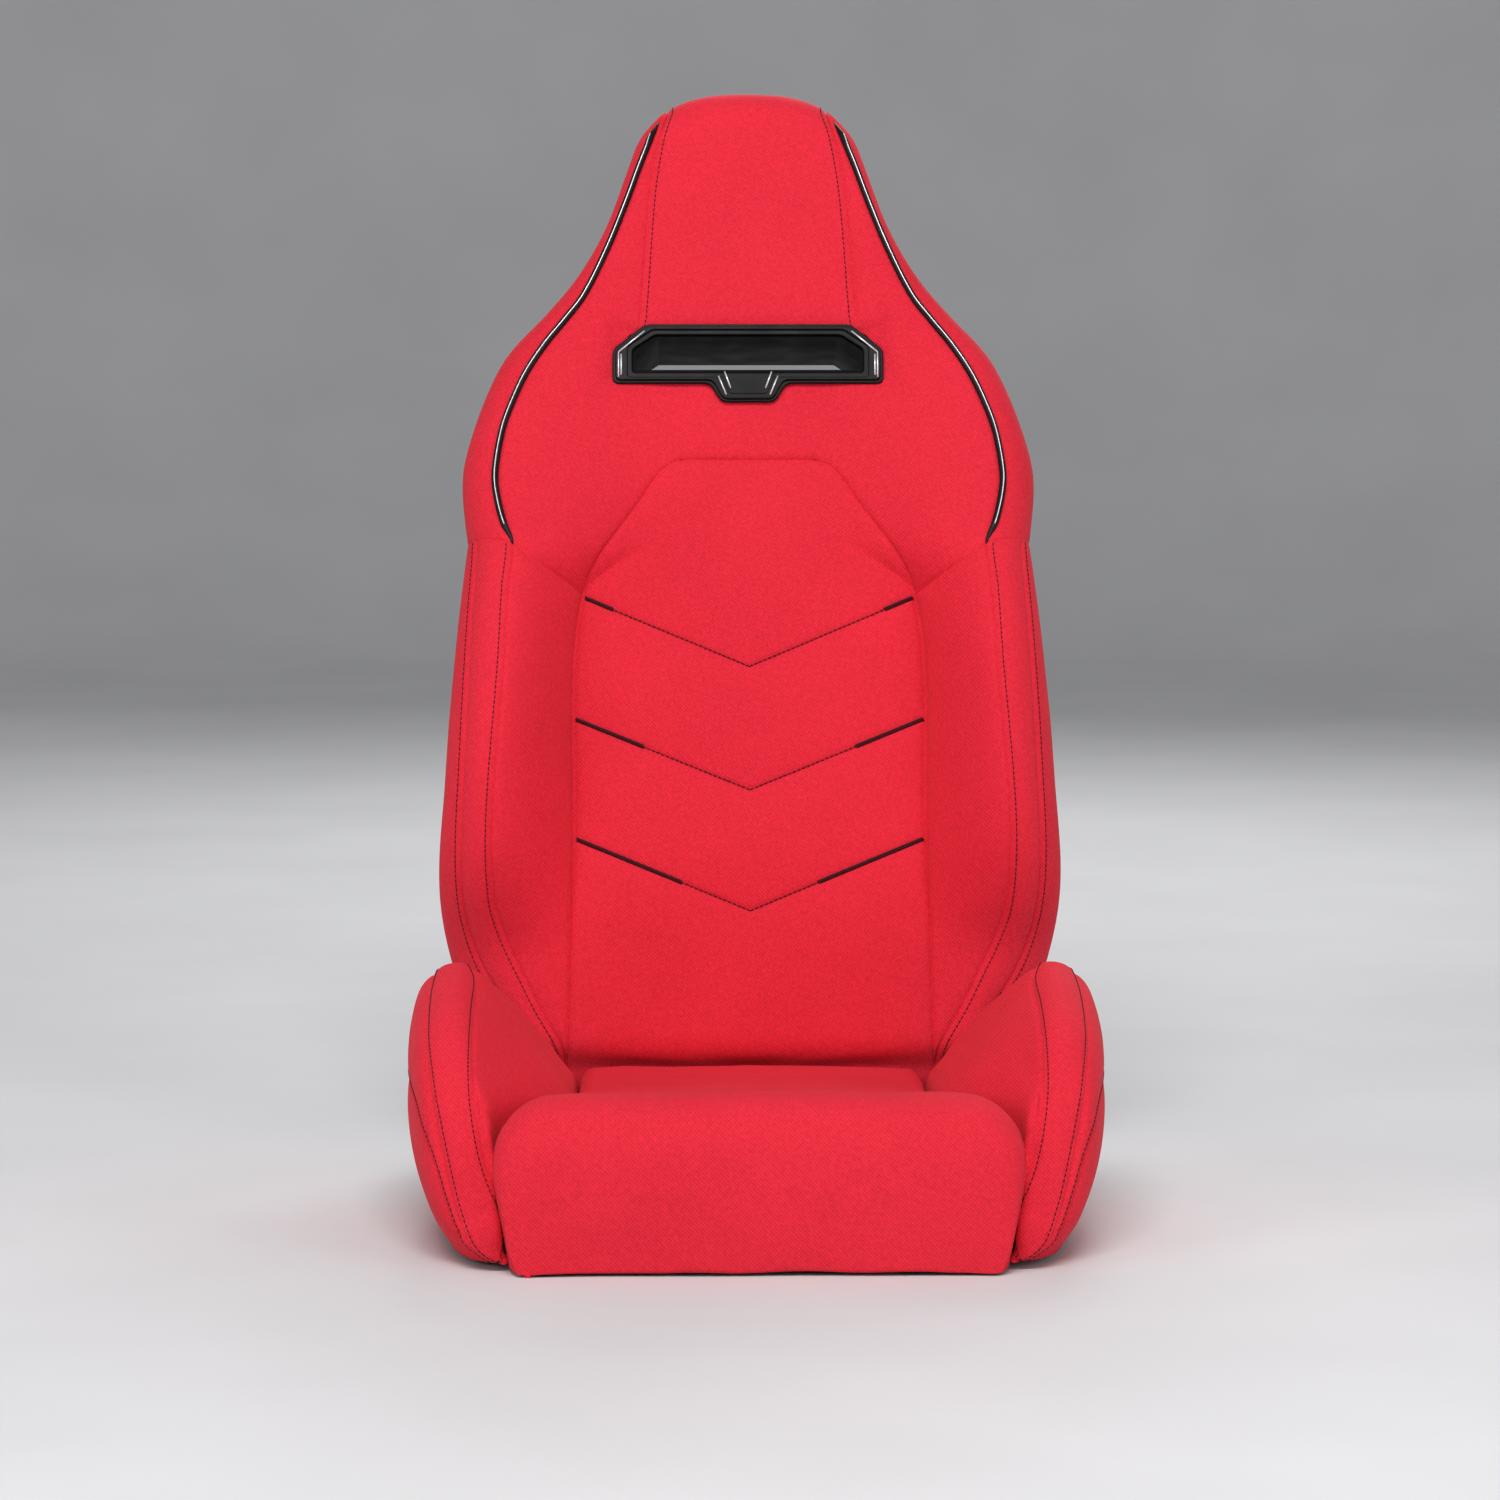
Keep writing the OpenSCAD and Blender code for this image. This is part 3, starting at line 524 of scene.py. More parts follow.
def moulded(name, colour, rough, grain, depth, gloss=0.22):
    """Moulded plastic or vinyl with a fine grain."""
    m = Nodes(name, Specular_IOR_Level=gloss)
    m.bump(m.noise(grain, 4), depth, 0.0003)
    m.mix_colour(m.spread(m.noise(14, 3), 0.3, 0.7), colour, tuple(c * 1.35 + 0.002 for c in colour))
    m.rough(m.noise(40, 4), rough - 0.06, rough + 0.08)
    return m.mat


def metal(name, colour, rough, metallic=1.0, stretch=(1, 1, 1), coat=0.0):
    """Metal or plating with fine lines, drawn out along an axis by stretch."""
    m = Nodes(name, Metallic=metallic, Coat_Weight=coat)
    lines = m.noise(260, 3, stretch)
    m.bump(lines, 0.12, 0.0002)
    m.mix_colour(m.spread(m.noise(30, 4), 0.3, 0.7), colour, tuple(c * 1.12 for c in colour))
    m.rough(lines, rough - 0.07, rough + 0.1)
    return m.mat


RED = twill("red_twill", (0.56, 0.011, 0.026), (0.86, 0.026, 0.052))
THREAD = twill("dark_thread", (0.045, 0.006, 0.008), (0.10, 0.012, 0.016), 0.0006)
EMBROIDERY = twill("dark_embroidery", (0.03, 0.005, 0.007), (0.075, 0.010, 0.014), 0.0009)
CORD = moulded("piping_vinyl", (0.004, 0.0035, 0.004), 0.42, 500, 0.15)
# bright silver for the thin strip on the shoulder piping: a painted highlight along the cord
PIPING_HIGHLIGHT = metal("piping_highlight", (0.80, 0.80, 0.82), 0.38, 0.55)
SATIN_BLACK = moulded("satin_black", (0.002, 0.002, 0.0023), 0.38, 900, 0.08, gloss=0.15)
LINER = moulded("matte_black", (0.0012, 0.0012, 0.0014), 0.62, 600, 0.3, gloss=0.08)
GRAINED = moulded("grained_black", (0.022, 0.022, 0.024), 0.52, 600, 0.5)
CHROME = metal("bright_line", (0.82, 0.82, 0.84), 0.32, 0.6)
ZINC = metal("zinc_plate", (0.56, 0.56, 0.54), 0.34, 1.0, (1, 6, 1))
POWDER = metal("black_powder_coat", (0.028, 0.028, 0.030), 0.42, 0.2, (1, 1, 1), 0.2)
BRASS = metal("turned_brass", (0.72, 0.50, 0.20), 0.30)


# ---- stitching and cords
def tube_block(points, radius, sides=10):
    """Grid of world points round a path, with closed ends."""
    pts = [Vector(p) for p in points]
    rows = []
    side = None
    for i, p in enumerate(pts):
        t = (pts[min(i + 1, len(pts) - 1)] - pts[max(i - 1, 0)]).normalized()
        if side is None:
            side = t.orthogonal().normalized()
        side = (side - t * side.dot(t)).normalized()
        up = t.cross(side)
        r = radius(i / (len(pts) - 1)) if callable(radius) else radius
        rows.append([p + (side * math.cos(a) + up * math.sin(a)) * r
                     for a in (2 * math.pi * k / sides for k in range(sides + 1))])
    rows = [[pts[0]] * (sides + 1)] + rows + [[pts[-1]] * (sides + 1)]
    return np.array([[list(q) for q in row] for row in rows])


def resample(path, pitch):
    """Points and their normals at an even pitch along a path of (point, normal) pairs in metres."""
    p = np.array([q[0] for q in path])
    d = lengths(p)
    s = np.arange(0, d[-1], pitch)
    return points_at(s, d, p), points_at(s, d, np.array([q[1] for q in path]))


def stitches(name, paths, body, length=0.0036, gap=0.0009, radius=0.00048):
    """Rows of thread that dip into the cloth between stitches."""
    blocks = []
    for path in paths:
        p, n = resample(path, length + gap)
        for i in range(len(p) - 1):
            a, b = Vector(p[i]), Vector(p[i + 1])
            up = Vector(n[i]).normalized()
            end = a.lerp(b, length / (length + gap))
            out, sink = up * 0.00025, up * 0.0004
            line = [a - sink, a.lerp(end, 0.2) + out, a.lerp(end, 0.8) + out, end - sink]
            blocks.append(tube_block(line, lambda t: radius * (0.65 if t in (0.0, 1.0) else 1.0), 5))
    return mesh_object(name, blocks, body, THREAD)


def grid_line(g, n, column_side, distance):
    """Path across every row of a world grid, a distance in metres in from its first or last column."""
    path = []
    for r, m in zip(g, n):
        if column_side == "last":
            r, m = r[::-1], m[::-1]
        d = lengths(r)
        if d[-1] > distance:
            path.append((points_at(distance, d, r), points_at(distance, d, m)))
    return path


def cover(name, blocks, body="backrest"):
    """A padded piece of red cloth from grids of world points."""
    ob = mesh_object(name, blocks, body, RED)
    solid = ob.modifiers.new("thickness", "SOLIDIFY")
    solid.thickness = THICK
    solid.offset = -1
    sub = ob.modifiers.new("smooth", "SUBSURF")
    sub.levels = sub.render_levels = 1
    return ob


def sampled(point, up, across):
    """Points, seam distances and normals of a panel, from a function of the fractions up and across it."""
    cells = [[point(a, b) for b in across] for a in up]
    p = np.array([[c[0] for c in row] for row in cells])
    d = np.abs(np.array([[c[1] for c in row] for row in cells]))
    return p, d, normals(p, axis_of_back)


def insert_top(u):
    """Height of the insert's upper edge at half width u."""
    low, high = 382.0, float(CHEST_V)
    for _ in range(30):
        v = (low + high) / 2
        low, high = (v, high) if along(INSERT, v) > u else (low, v)
    return low


def insert_rows():
    """Rows of (u, v) over the insert that follow the chevrons."""
    half_top = along(INSERT, 382)
    bs = [2 * f - 1 for f in fractions(300, 8)]
    lines = [lambda b: float(INSERT_V)]
    lines += [lambda b, c=c: lerp(c[0], c[1], abs(b)) for c in CHEVRONS]
    lines += [lambda b: insert_top(half_top * abs(b))]
    rows = []
    for k, (low, high) in enumerate(zip(lines[:-1], lines[1:])):
        size = (200, 107, 110, 160)[k]
        for t in fractions(size, 7)[(1 if k else 0):]:
            row = []
            for b in bs:
                v = lerp(low(b), high(b), t)
                row.append((b * (along(INSERT, v) if v < 382 else half_top), v))
            rows.append(row)
    return rows


def wall_rows():
    """Rows over a bolster's inner wall, between the insert and the stitched seam."""
    rows = []
    for a in fractions(440, 9):
        row = []
        for b in fractions(75, 6):
            v = lerp(SKIRT_V, WALL_V + (WING_V - WALL_V) * b**1.25, a)
            row.append((lerp(along(INSERT, v), along(CREST, v), b), v))
        rows.append(row)
    return rows


def band_point(a, b):
    """Point on the band over the bolster's crest, at a up and b outward, and its distance from a seam.
    Its lower end narrows to stay clear of the latch and the recliner."""
    v = lerp(SKIRT_V, WING_V + 6 * b, a)
    split = seam2_at(v)
    arc = lerp(0, split, b)
    u, m = section_at(v, arc)
    if v < 45:
        k = smooth(v, 5, 22)
        flat = lerp(along(CREST, v), lerp(189, 198.6, smooth(v, -16, -8)), b)
        m = lerp(front_n(flat, v), m, k)
        u = lerp(flat, u, k)
    return (u, v, m), min(arc, split - arc, 429 + 2 * b - v)


def side_point(a, b):
    """Point on the outer side, at a up and b round to the rear, and its distance from a seam.
    The lower edge is an arch over the recliner cover."""
    top = lerp(428, 433, b)
    v = lerp(SIDE_V, top, a)
    split = seam2_at(v)
    arc = lerp(split, section(v)[1][-1], b)
    m = section_at(v, arc)[1]
    arch = math.sqrt(max(0.0, 61**2 - m * m))
    low = max(SIDE_V, arch) + 18 * smooth(-m, -4, 30) ** 2
    v = lerp(low, top, a)
    u, m = section_at(v, arc)
    return (u, v, m), min(arc - split, 429 + 2 * b - v)


def wing_point(a, b):
    """Point on the outer shoulder, from the piping round to the rear and up over the head."""
    foot = WING_V + 11 * b
    v = lerp(foot, 837.5, a)
    arc = section(v)[1][-1] * b
    u, m = section_at(v, arc)
    return (u, v, m), min(arc, v - foot)


def head_point(f, b):
    """Point on the middle of the headrest, at f over the top and down behind, and b across."""
    run = f * HEAD_RUN
    u = b * along(INSERT, min(HEAD_V + run, 838))
    start = top_arc(u)[1]
    height = start - HEAD_V
    if run < height:
        v = HEAD_V + run
        m = front_n(u, v)
    elif run > HEAD_RUN - HEAD_TAIL:
        v = start - (run - HEAD_RUN + HEAD_TAIL)
        m = REAR_N
    else:
        t = min(1.0, (run - height) / (HEAD_RUN - height - HEAD_TAIL)) * math.pi
        reach = front_n(u, start) - CROWN_N if t < math.pi / 2 else CROWN_N - REAR_N
        v = start + CROWN_ROUND * math.sin(t)
        m = CROWN_N + reach * math.cos(t)
    return (u, v, m), (1 - abs(b)) * 76


q, n = tucked(*front_block(insert_rows(), 4.0), first=1, last=1, top=True)
insert = cover("back_insert_cover", [back_block(q, n)])

stitch_paths = {"inner_seam": [], "outer_seam": [], "head_seam": [], "chevron": []}
for side, s in (("left", 1), ("right", -1)):
    q, n = tucked(*front_block(wall_rows(), 3.0), first=1, last=1, top=True)
    cover("back_bolster_inner_" + side, [back_block(q, n, s)])

    p, d, n = sampled(band_point, fractions(400, 9), fractions(34, 6))
    q = swollen(p, n, d, relief(d, 3.2, 1.7))
    stitch_paths["inner_seam"].append(grid_line(*placed(q, n, s), "first", 0.0062))
    q, n = tucked(q, n, first=1, last=np.clip((p[:, -1, 1] - 30) / 12, 0, 1), top=True)
    band = back_block(q, n, s)
    p, d, n = sampled(side_point, fractions(400, 9), fractions(150, 9))
    q = swollen(p, n, d, relief(d, 3.2, 1.7))
    stitch_paths["outer_seam"].append(grid_line(*placed(q, n, s), "first", 0.0060))
    q, n = tucked(q, n, first=1, top=True)
    outer = cover("back_bolster_outer_" + side, [band, back_block(q, n, s)])
    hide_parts("back_bolster_" + side)

    p, d, n = sampled(wing_point, fractions(425, 9), fractions(130, 8))
    fade = np.clip((CROWN_V - p[..., 1]) / 25, 0, 1)
    q = swollen(p, n, d, relief(d, 3.0, 2.2), fade)
    q, n = tucked(q, n, first=1, bottom=True)
    cover("shoulder_outer_" + side, [back_block(q, n, s)])

# shoulder panel round the slot, both halves welded along the middle
shoulder_vs = []
for low, high, step in ((WALL_V, CHEST_V, 9), (CHEST_V, NECK_V, 7), (NECK_V, 626, 7), (626, CROWN_V, 9)):
    shoulder_vs += [low + (high - low) * f for f in fractions(high - low, step)[bool(shoulder_vs):]]
middle_vs = [v for v in shoulder_vs if CHEST_V - 0.1 < v < NECK_V + 0.1]
blocks = []
for s in (1, -1):
    rows = []
    for v0 in shoulder_vs:
        a = (v0 - WALL_V) / (CROWN_V - WALL_V)
        row = []
        for b in fractions(100, 7):
            v = lerp(WALL_V + (WING_V - WALL_V) * b**1.25, CROWN_V, a)
            row.append((lerp(along(INSERT, v0), along(CREST, v), b), v))
        rows.append(row)
    free = np.array([0.0 if v0 in middle_vs else 1.0 for v0 in shoulder_vs])
    q, n = tucked(*front_block(rows, 2.6), first=free, last=1, bottom=True, top=True)
    blocks.append(back_block(q, n, s))
    rows = [[(b * along(INSERT, v0), v0) for b in fractions(80, 8)] for v0 in middle_vs]
    q, n = tucked(*front_block(rows, 2.6), bottom=True)
    blocks.append(back_block(q, n, s))
shoulder = cover("shoulder_cover", blocks)

# middle of the headrest
p, d, n = sampled(head_point, fractions(HEAD_RUN, 8), [2 * x - 1 for x in fractions(165, 8)])
foot_fade = np.where(p[..., 2] > 20, 1 - np.exp(-np.maximum(p[..., 1] - HEAD_V - 6, 0) / 12), 1)
q = swollen(p, n, d, relief(d, 3.4, 1.6) * foot_fade)
for edge in ("first", "last"):
    stitch_paths["head_seam"].append(grid_line(*placed(q, n), edge, 0.0060)[2:-6])
q, n = tucked(q, n, first=1, last=1)
cover("headrest_cover", [back_block(q, n)])


def patch(u, v, du=1.0):
    """Nine points of the smooth front face round (u, v), and the normal in the middle."""
    around = np.array([[(u + a, v + b, front_n(u + a, v + b)) for a in (-du, 0, du)] for b in (-1, 0, 1)])
    return around, normals(around, axis_of_back)[1, 1]


def on_front(u, v, lift):
    """World point and normal at a lift over the finished insert at (u, v)."""
    around, n = patch(u, v)
    p = around[1:2, 1:2]
    d, crease = seams_near(p[..., 0], p[..., 1])
    g, t = placed(p + n * (4.0 * (1 - np.exp(-d / 24)) - crease + lift + softness(p))[..., None], n)
    return g[0, 0], t[0, 0]


# thread along the chevrons, with thick embroidered bars at their outer ends
bars = []
for (tip, edge), bar in zip(CHEVRONS, ACCENTS):
    for s in (1, -1):
        w = along(INSERT, edge)
        inner = 1 - bar / math.hypot(w, edge - tip)
        place = lambda x: (s * w * x, lerp(tip, edge, x))
        stitch_paths["chevron"].append([on_front(*place(x / 30), 1.2) for x in range(30)])
        line = [on_front(*place(lerp(0.985, inner, k / 24)), 1.3) for k in range(25)]
        p, n = resample(line, 0.0011)
        for i in range(len(p) - 1):
            forward = Vector(p[i + 1] - p[i]).normalized()
            up = Vector(n[i]).normalized()
            across = forward.cross(up)
            c = Vector(p[i])
            thread = [c + across * (0.0014 * k) + up * 0.0009 * (1 - k * k) + forward * 0.0006 * k
                      for k in (-1, -0.5, 0, 0.5, 1)]
            bars.append(tube_block(thread, 0.00062, 5))
mesh_object("chevron_embroidery", bars, "backrest", EMBROIDERY)
for key, paths in stitch_paths.items():
    stitches("stitching_" + key, paths, "backrest")


def piping(side, s):
    """Cord along a shoulder's seam, with a thin bright silver strip on its front face as a painted highlight
    of the cord. Both ends sink into the seam.
    """
    flip = np.array([s, 1, 1])
    path, highlight_path = [], []
    for k in range(101):
        v = lerp(421, 824, k / 100)
        around, n = patch(along(CREST, v), v, 1.5)
        sink = 3.5 * (1 - smooth(k, 0, 5)) + 3.0 * smooth(k, 95, 100)
        centre = around[1, 1] + n * (0.9 - sink)
        path.append(back_to_world(centre * flip))
        side_way = np.cross(around[2, 1] - around[0, 1], n)
        side_way /= np.linalg.norm(side_way)
        # path of a thin bright strip just out from the cord's front face: a painted highlight along the cord
        highlight_path.append(back_to_world((centre + n * 3.05 + side_way * 0.5) * flip))
    cord = tube_block(path, lambda t: 0.0031 * min(1.0, 0.35 + 14 * min(t, 1 - t)), 14)
    ob = mesh_object("shoulder_piping_cord_" + side, [cord], "backrest", CORD)
    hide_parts("shoulder_piping_" + side)
    # the painted highlight: a thin silver tube along the cord's front face
    line = tube_block(highlight_path[4:-4], 0.00050, 8)
    mesh_object("shoulder_piping_highlight_" + side, [line], "backrest", PIPING_HIGHLIGHT)


piping("left", 1)
piping("right", -1)

# ---- base covers
# All of these run over y, from the front edge to the rear.
CUSHION_TOP = [(-265, 68), (-261, 96), (-253, 115), (-240, 127), (-215, 133), (-170, 129), (-100, 117),
               (0, 104), (100, 96), (192, 92)]
CUSHION_HALF = [(-265, 196), (-240, 209), (-200, 209), (-150, 192), (-90, 166), (-20, 150), (192, 148)]
BOLSTER_TOP = [(-240, 44), (-230, 82), (-213, 122), (-190, 153), (-150, 180), (-100, 197), (-40, 207),
               (10, 207), (60, 178), (100, 150), (135, 126), (160, 104)]
BOLSTER_CREST = [(-240, 212), (-213, 238), (-190, 245), (-100, 250), (10, 248), (60, 226), (100, 206),
                 (160, 186)]
BOLSTER_BELLY = [(-240, 234), (-222, 256), (-190, 270), (-120, 281), (-40, 283), (10, 280), (40, 262),
                 (72, 236), (100, 229), (135, 222), (160, 212)]
BOLSTER_FOOT = [(-240, 199), (-200, 211), (-150, 195), (-90, 169), (-20, 153), (160, 152)]
NOSE_Y = -240  # front of the bolsters' sections
TURN_Y = -80  # in front of it the rows of a bolster fan forward and down
TAIL_Y = 160  # rear of the bolsters
SILL_Z = 66  # upper edge of the frame, where the covers end beside it
FRONT_Y = -185  # in front of it they go down to the floor
STEPS = 12  # spline steps between two given points


def spline(points):
    """Smooth open curve through 2-D points."""
    p = np.array([points[0]] + list(points) + [points[-1]], float)
    out = []
    for i in range(1, len(p) - 2):
        for t in np.linspace(0, 1, STEPS, endpoint=False):
            a, b, c, d = p[i - 1], p[i], p[i + 1], p[i + 2]
            out.append(0.5 * (2 * b + (c - a) * t + (2 * a - 5 * b + 4 * c - d) * t**2
                              + (3 * b - a - 3 * c + d) * t**3))
    out.append(p[-1])
    return np.array(out)


def bolster_section(y):
    """Section of a base bolster: smooth points (x, z) from the cushion side over the crest to the sill."""
    top = along(BOLSTER_TOP, y)
    crest = along(BOLSTER_CREST, y)
    belly = along(BOLSTER_BELLY, y)
    foot = along(BOLSTER_FOOT, y)
    seat = min(along(CUSHION_TOP, max(y, -215)) - 6, top - 8)
    k = min(1.0, top / 150)
    return spline([(foot, lerp(5, min(SILL_Z, 0.62 * seat), smooth(y, -236, -222))), (foot + 4, seat),
                   ((foot + crest) / 2 - 4, (seat + top) / 2 + 2), (crest - 17, top - 5), (crest + 3, top),
                   (crest + 17, top - 7), ((crest + belly) / 2 + 11, top - 24 * k), (belly, 0.68 * top),
                   (belly - 3, 0.45 * top), (belly - 14, 0.22 * top + 2), (belly - 30, 5)])


def bolster_block():
    """Rough closed surface of the left base bolster, ring by ring, as a tree to cast rays on."""
    rings = []
    for y in [NOSE_Y - 7 + 0.5 * i for i in range(14)] + [NOSE_Y + 4 * i for i in range(103)]:
        p = bolster_section(max(y, NOSE_Y))
        foot = along(BOLSTER_FOOT, max(y, NOSE_Y))
        p = np.concatenate([[[foot, 3]], p, [[p[-1][0] - 6, 3]]])
        k = 1.0 if y >= NOSE_Y else math.sqrt(max(0.002, 1 - ((NOSE_Y - y) / 7) ** 2))
        rings.append([(214 + (x - 214) * k, y, 3 + (z - 3) * k) for x, z in p])
    verts = [q for ring in rings for q in ring]
    m = len(rings[0])
    faces = [(i * m + j, i * m + j + 1, (i + 1) * m + j + 1, (i + 1) * m + j)
             for i in range(len(rings) - 1) for j in range(m - 1)]
    return BVHTree.FromPolygons([Vector(v) for v in verts], faces)


def lobe_row(tree, w):
    """Points across the lobe at w, from the cushion side over the crest to the sill, and their distances
    from the first; the half widths and distances up to the widest point; and the distance of the highest.
    The rows stand upright behind TURN_Y and fan forward and down from there to the nose."""
    f = min(1.0, max(0.0, (TURN_Y - w) / (TURN_Y - NOSE_Y)))
    y = max(w, TURN_Y)
    middle = (along(BOLSTER_FOOT, y) + along(BOLSTER_BELLY, y) - 30) / 2
    lift = Vector((0, -math.sin(math.pi / 2 * f), math.cos(math.pi / 2 * f)))
    centre = Vector((lerp(middle, 225, f), y - 118 * f + 0.37, 5.5))
    pts = []
    for i in range(241):
        a = math.pi / 2 * math.sin(math.pi * (i - 120) / 240)
        hit = tree.ray_cast(centre, Vector((math.sin(a), 0, 0)) + lift * math.cos(a))[0]
        if hit:
            pts.append(hit)
    height = [q.dot(lift) for q in pts]
    top = height.index(max(height))
    start = top
    while start > 0 and not (pts[start - 1].z < SILL_Z and pts[start - 1].y > FRONT_Y):
        start -= 1
    p = [np.array(q) for q in pts[start:]]
    if start > 0:
        a, b = p[0], np.array(pts[start - 1])
        fall = (a[2] - SILL_Z) / max(a[2] - b[2], 1e-6) if a[2] > SILL_Z else 0
        t = max(fall, (FRONT_Y - a[1]) / max(b[1] - a[1], 1e-6))
        p.insert(0, a + (b - a) * min(max(t, 0.02), 1))
    p = np.array(p)
    s = lengths(p)
    widest = int(np.argmax(p[:, 0])) + 1
    return p, s, p[:widest, 0], s[:widest], s[top - start]


# Stitched lines on a base bolster over w: half widths of the inner and outer one, the inner one's distance
# from the crest at the nose, and how far the lower one lies beyond the outer one.
LOBE_INNER = [(-240, 199.5), (-206, 203), (-180, 212), (-162, 221.5), (-148, 227), (-134, 230.5), (-108, 232),
              (-30, 233), (10, 240), (60, 232), (100, 212), (160, 192)]
LOBE_OUTER = [(-240, 206), (-220, 222), (-188, 235), (-162, 245), (-148, 251), (-134, 257), (-106, 264),
              (-40, 264), (10, 261), (60, 246), (100, 224), (160, 204)]
LOBE_NOSE = [(-240, -8), (-206, -13), (-180, -6), (-160, 0)]
LOBE_LOWER = [(-240, 14), (-204, 9), (-178, 9), (-156, 13), (-134, 27), (-106, 48), (-80, 64), (0, 76),
              (160, 62)]


def lobe_axis(q):
    x, y, z = q[..., 0], q[..., 1], q[..., 2]
    return np.stack([x * 0 + 222, np.maximum(y, -150), z * 0 + 60], axis=-1)


def lobe_cover(side, s):
    """Cover of one base bolster, and the paths of its three stitched lines."""
    tree = bolster_block()
    rows = [TAIL_Y - 240 * f for f in fractions(240, 6)]
    rows += [TURN_Y - 160 * f for f in fractions(160, 2.6, ())[1:]]
    grid, dist, arcs_of = [], [], []
    for w in rows:
        p, a, widths, at, crest = lobe_row(tree, w)
        widths = np.maximum.accumulate(widths)
        inner = float(np.interp(along(LOBE_INNER, w), widths, at))
        inner = max(lerp(inner, crest + along(LOBE_NOSE, w), smooth(-w, 165, 185)), 7.0)
        outer = max(float(np.interp(along(LOBE_OUTER, w), widths, at)), inner + 5)
        lower = min(outer + along(LOBE_LOWER, w), a[-1] - 8)
        lines = [inner - 5.5, outer + 4.5, max(lower + 4.5, outer + 9)]
        stops = [a[0]] + lines + [a[-1]]
        arcs = []
        for k, (low, high) in enumerate(zip(stops[:-1], stops[1:])):
            places = fractions((70, 45, 60, 90)[k], (6, 5, 6, 7)[k], (1.2, 2.6))[bool(k):]
            arcs += [lerp(low, high, f) for f in places]
        grid.append(points_at(arcs, a, p))
        dist.append([min(abs(x - line) for line in lines) for x in arcs])
        arcs_of.append((arcs, (inner, outer, lower)))
    p = np.array(grid)
    d = np.array(dist)
    n = normals(p, lobe_axis)
    q = swollen(p, n, d, relief(d, 3.2, 1.7, 20, 2.0), np.clip((p[..., 2] - 6) / 22, 0, 1))
    front = p[..., 1] < -150
    q = relaxed(q, np.clip((24 - p[..., 2]) / 10, 0, 1) * front)
    q[..., 2] = np.maximum(q[..., 2], 2.0 + 10 * np.clip((216 - q[..., 0]) / 17, 0, 1) * front)
    flip = np.array([s, 1, 1])
    paths = [[], [], []]
    for i, (arcs, seams) in enumerate(arcs_of):
        for path, x in zip(paths, seams):
            path.append((points_at(x, arcs, q[i]) * flip / 1000, points_at(x, arcs, n[i]) * flip))
    # the rear end closes in four rings round its middle
    mid = np.array([q[0, :, 0].mean(), TAIL_Y - 1.0, q[0, :, 2].mean()])
    rear = [(q[0] - mid) * np.array([k, 0, k]) + mid + np.array([0, back, 0])
            for k, back in ((0.1, 2.8), (0.55, 2.8), (0.86, 2.6), (0.97, 1.6))]
    full = np.concatenate([np.array(rear), q])
    way = np.concatenate([np.zeros((4, q.shape[1], 3)) + np.array([0.0, 1.0, 0.0]), n])
    return cover("base_bolster_cover_" + side, [oriented(full * flip / 1000, way * flip)], "base"), paths


base_paths = []
for side, s in (("left", 1), ("right", -1)):
    lobe, paths = lobe_cover(side, s)
    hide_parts("base_bolster_" + side)
    base_paths += paths
stitches("stitching_base", base_paths, "base")


def cushion_section(y):
    """Half section of the cushion at y from the middle to its lower side edge."""
    top = along(CUSHION_TOP, y)
    half = along(CUSHION_HALF, y)
    half += 5 * smooth(-y, 235, 262)
    foot = half - 13 * smooth(-y, 150, 215)
    r = 12 + 34 * min(1.0, max(0.0, (-110 - y) / 90))
    low = lerp(SILL_Z, 3, smooth(-y, 222, 234))
    pts = [(half * f, top + 2 * (1 - f) ** 0.5) for f in (0, 0.15, 0.3, 0.45, 0.6, 0.75)]
    if half * 0.75 > half - r - 4:
        pts.pop()
    for k in range(10):
        a = math.radians(10 * k)
        pts.append((half - r + r * math.sin(a), top - r + r * math.cos(a)))
    last = min(pts[-1][1] - 2, 70)
    if low < last:
        pts.append((half, last))
        pts.append((lerp(half, foot, (last - low) / max(last, 1)), low))
    p = np.array(pts)
    return p, lengths(p)


def hem(x):
    """Height of the hem, which hangs a little unevenly."""
    return 2.4 + 1.2 * math.sin(x / 37 + 0.8) * math.sin(x / 23)


def cushion_axis(q):
    x, y, z = q[..., 0], q[..., 1], q[..., 2]
    return np.stack([x * 0.8, np.maximum(y, -200), z * 0 + 40], axis=-1)


columns = [2 * f - 1 for f in fractions(560, 6)]
ys = [183 - 413 * f for f in fractions(413, 7)]
ys += [-230 - 35 * (1 - (1 - k / 14) ** 2) for k in range(1, 15)]
grid = []
for y in ys:
    p, s = cushion_section(y)
    xs = [float(np.interp(abs(c) * s[-1], s, p[:, 0])) * (1 if c > 0 else -1) for c in columns]
    zs = [float(np.interp(abs(c) * s[-1], s, p[:, 1])) for c in columns]
    grid.append([(x, y, z) for x, z in zip(xs, zs)])
edge = grid[-1]
for k in range(1, 15):
    t = 1 - k / 14
    front_y = -265 - math.sin(math.pi * t) * 1.5
    grid.append([(lerp(176 * c, x, t), front_y, lerp(3, z, t)) for c, (x, y, z) in zip(columns, edge)])
p = np.array(grid)
n = normals(p, cushion_axis)
fade = np.clip((p[..., 2] - 8) / 25, 0, 1)
q = p + n * ((softness(p, 1.6, 0.014) + softness(p, 0.5, 0.05)) * fade)[..., None]
for i, j in np.ndindex(p.shape[:2]):
    x, y, z = p[i, j]
    if z < 22 and y < -232:
        q[i, j, 2] += (hem(x) - 3) * (1 - z / 22)
        q[i, j, 1] += 0.8 * math.sin(x / 23) * (1 - z / 22)
low = np.clip((50 - p[..., 2]) / 20, 0, 1) * (p[..., 1] < -225)
q = relaxed(q, low * np.clip((np.abs(p[..., 0]) - 140) / 20, 0, 1), 12)
q[..., 2] = np.maximum(q[..., 2], 2.2)
q[..., 1] = np.maximum(q[..., 1], -268)
cushion = cover("cushion_cover", [oriented(q / 1000, n)], "base")
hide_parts("cushion_pad")
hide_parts("back_center_pad")
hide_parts("back_upper_pad")


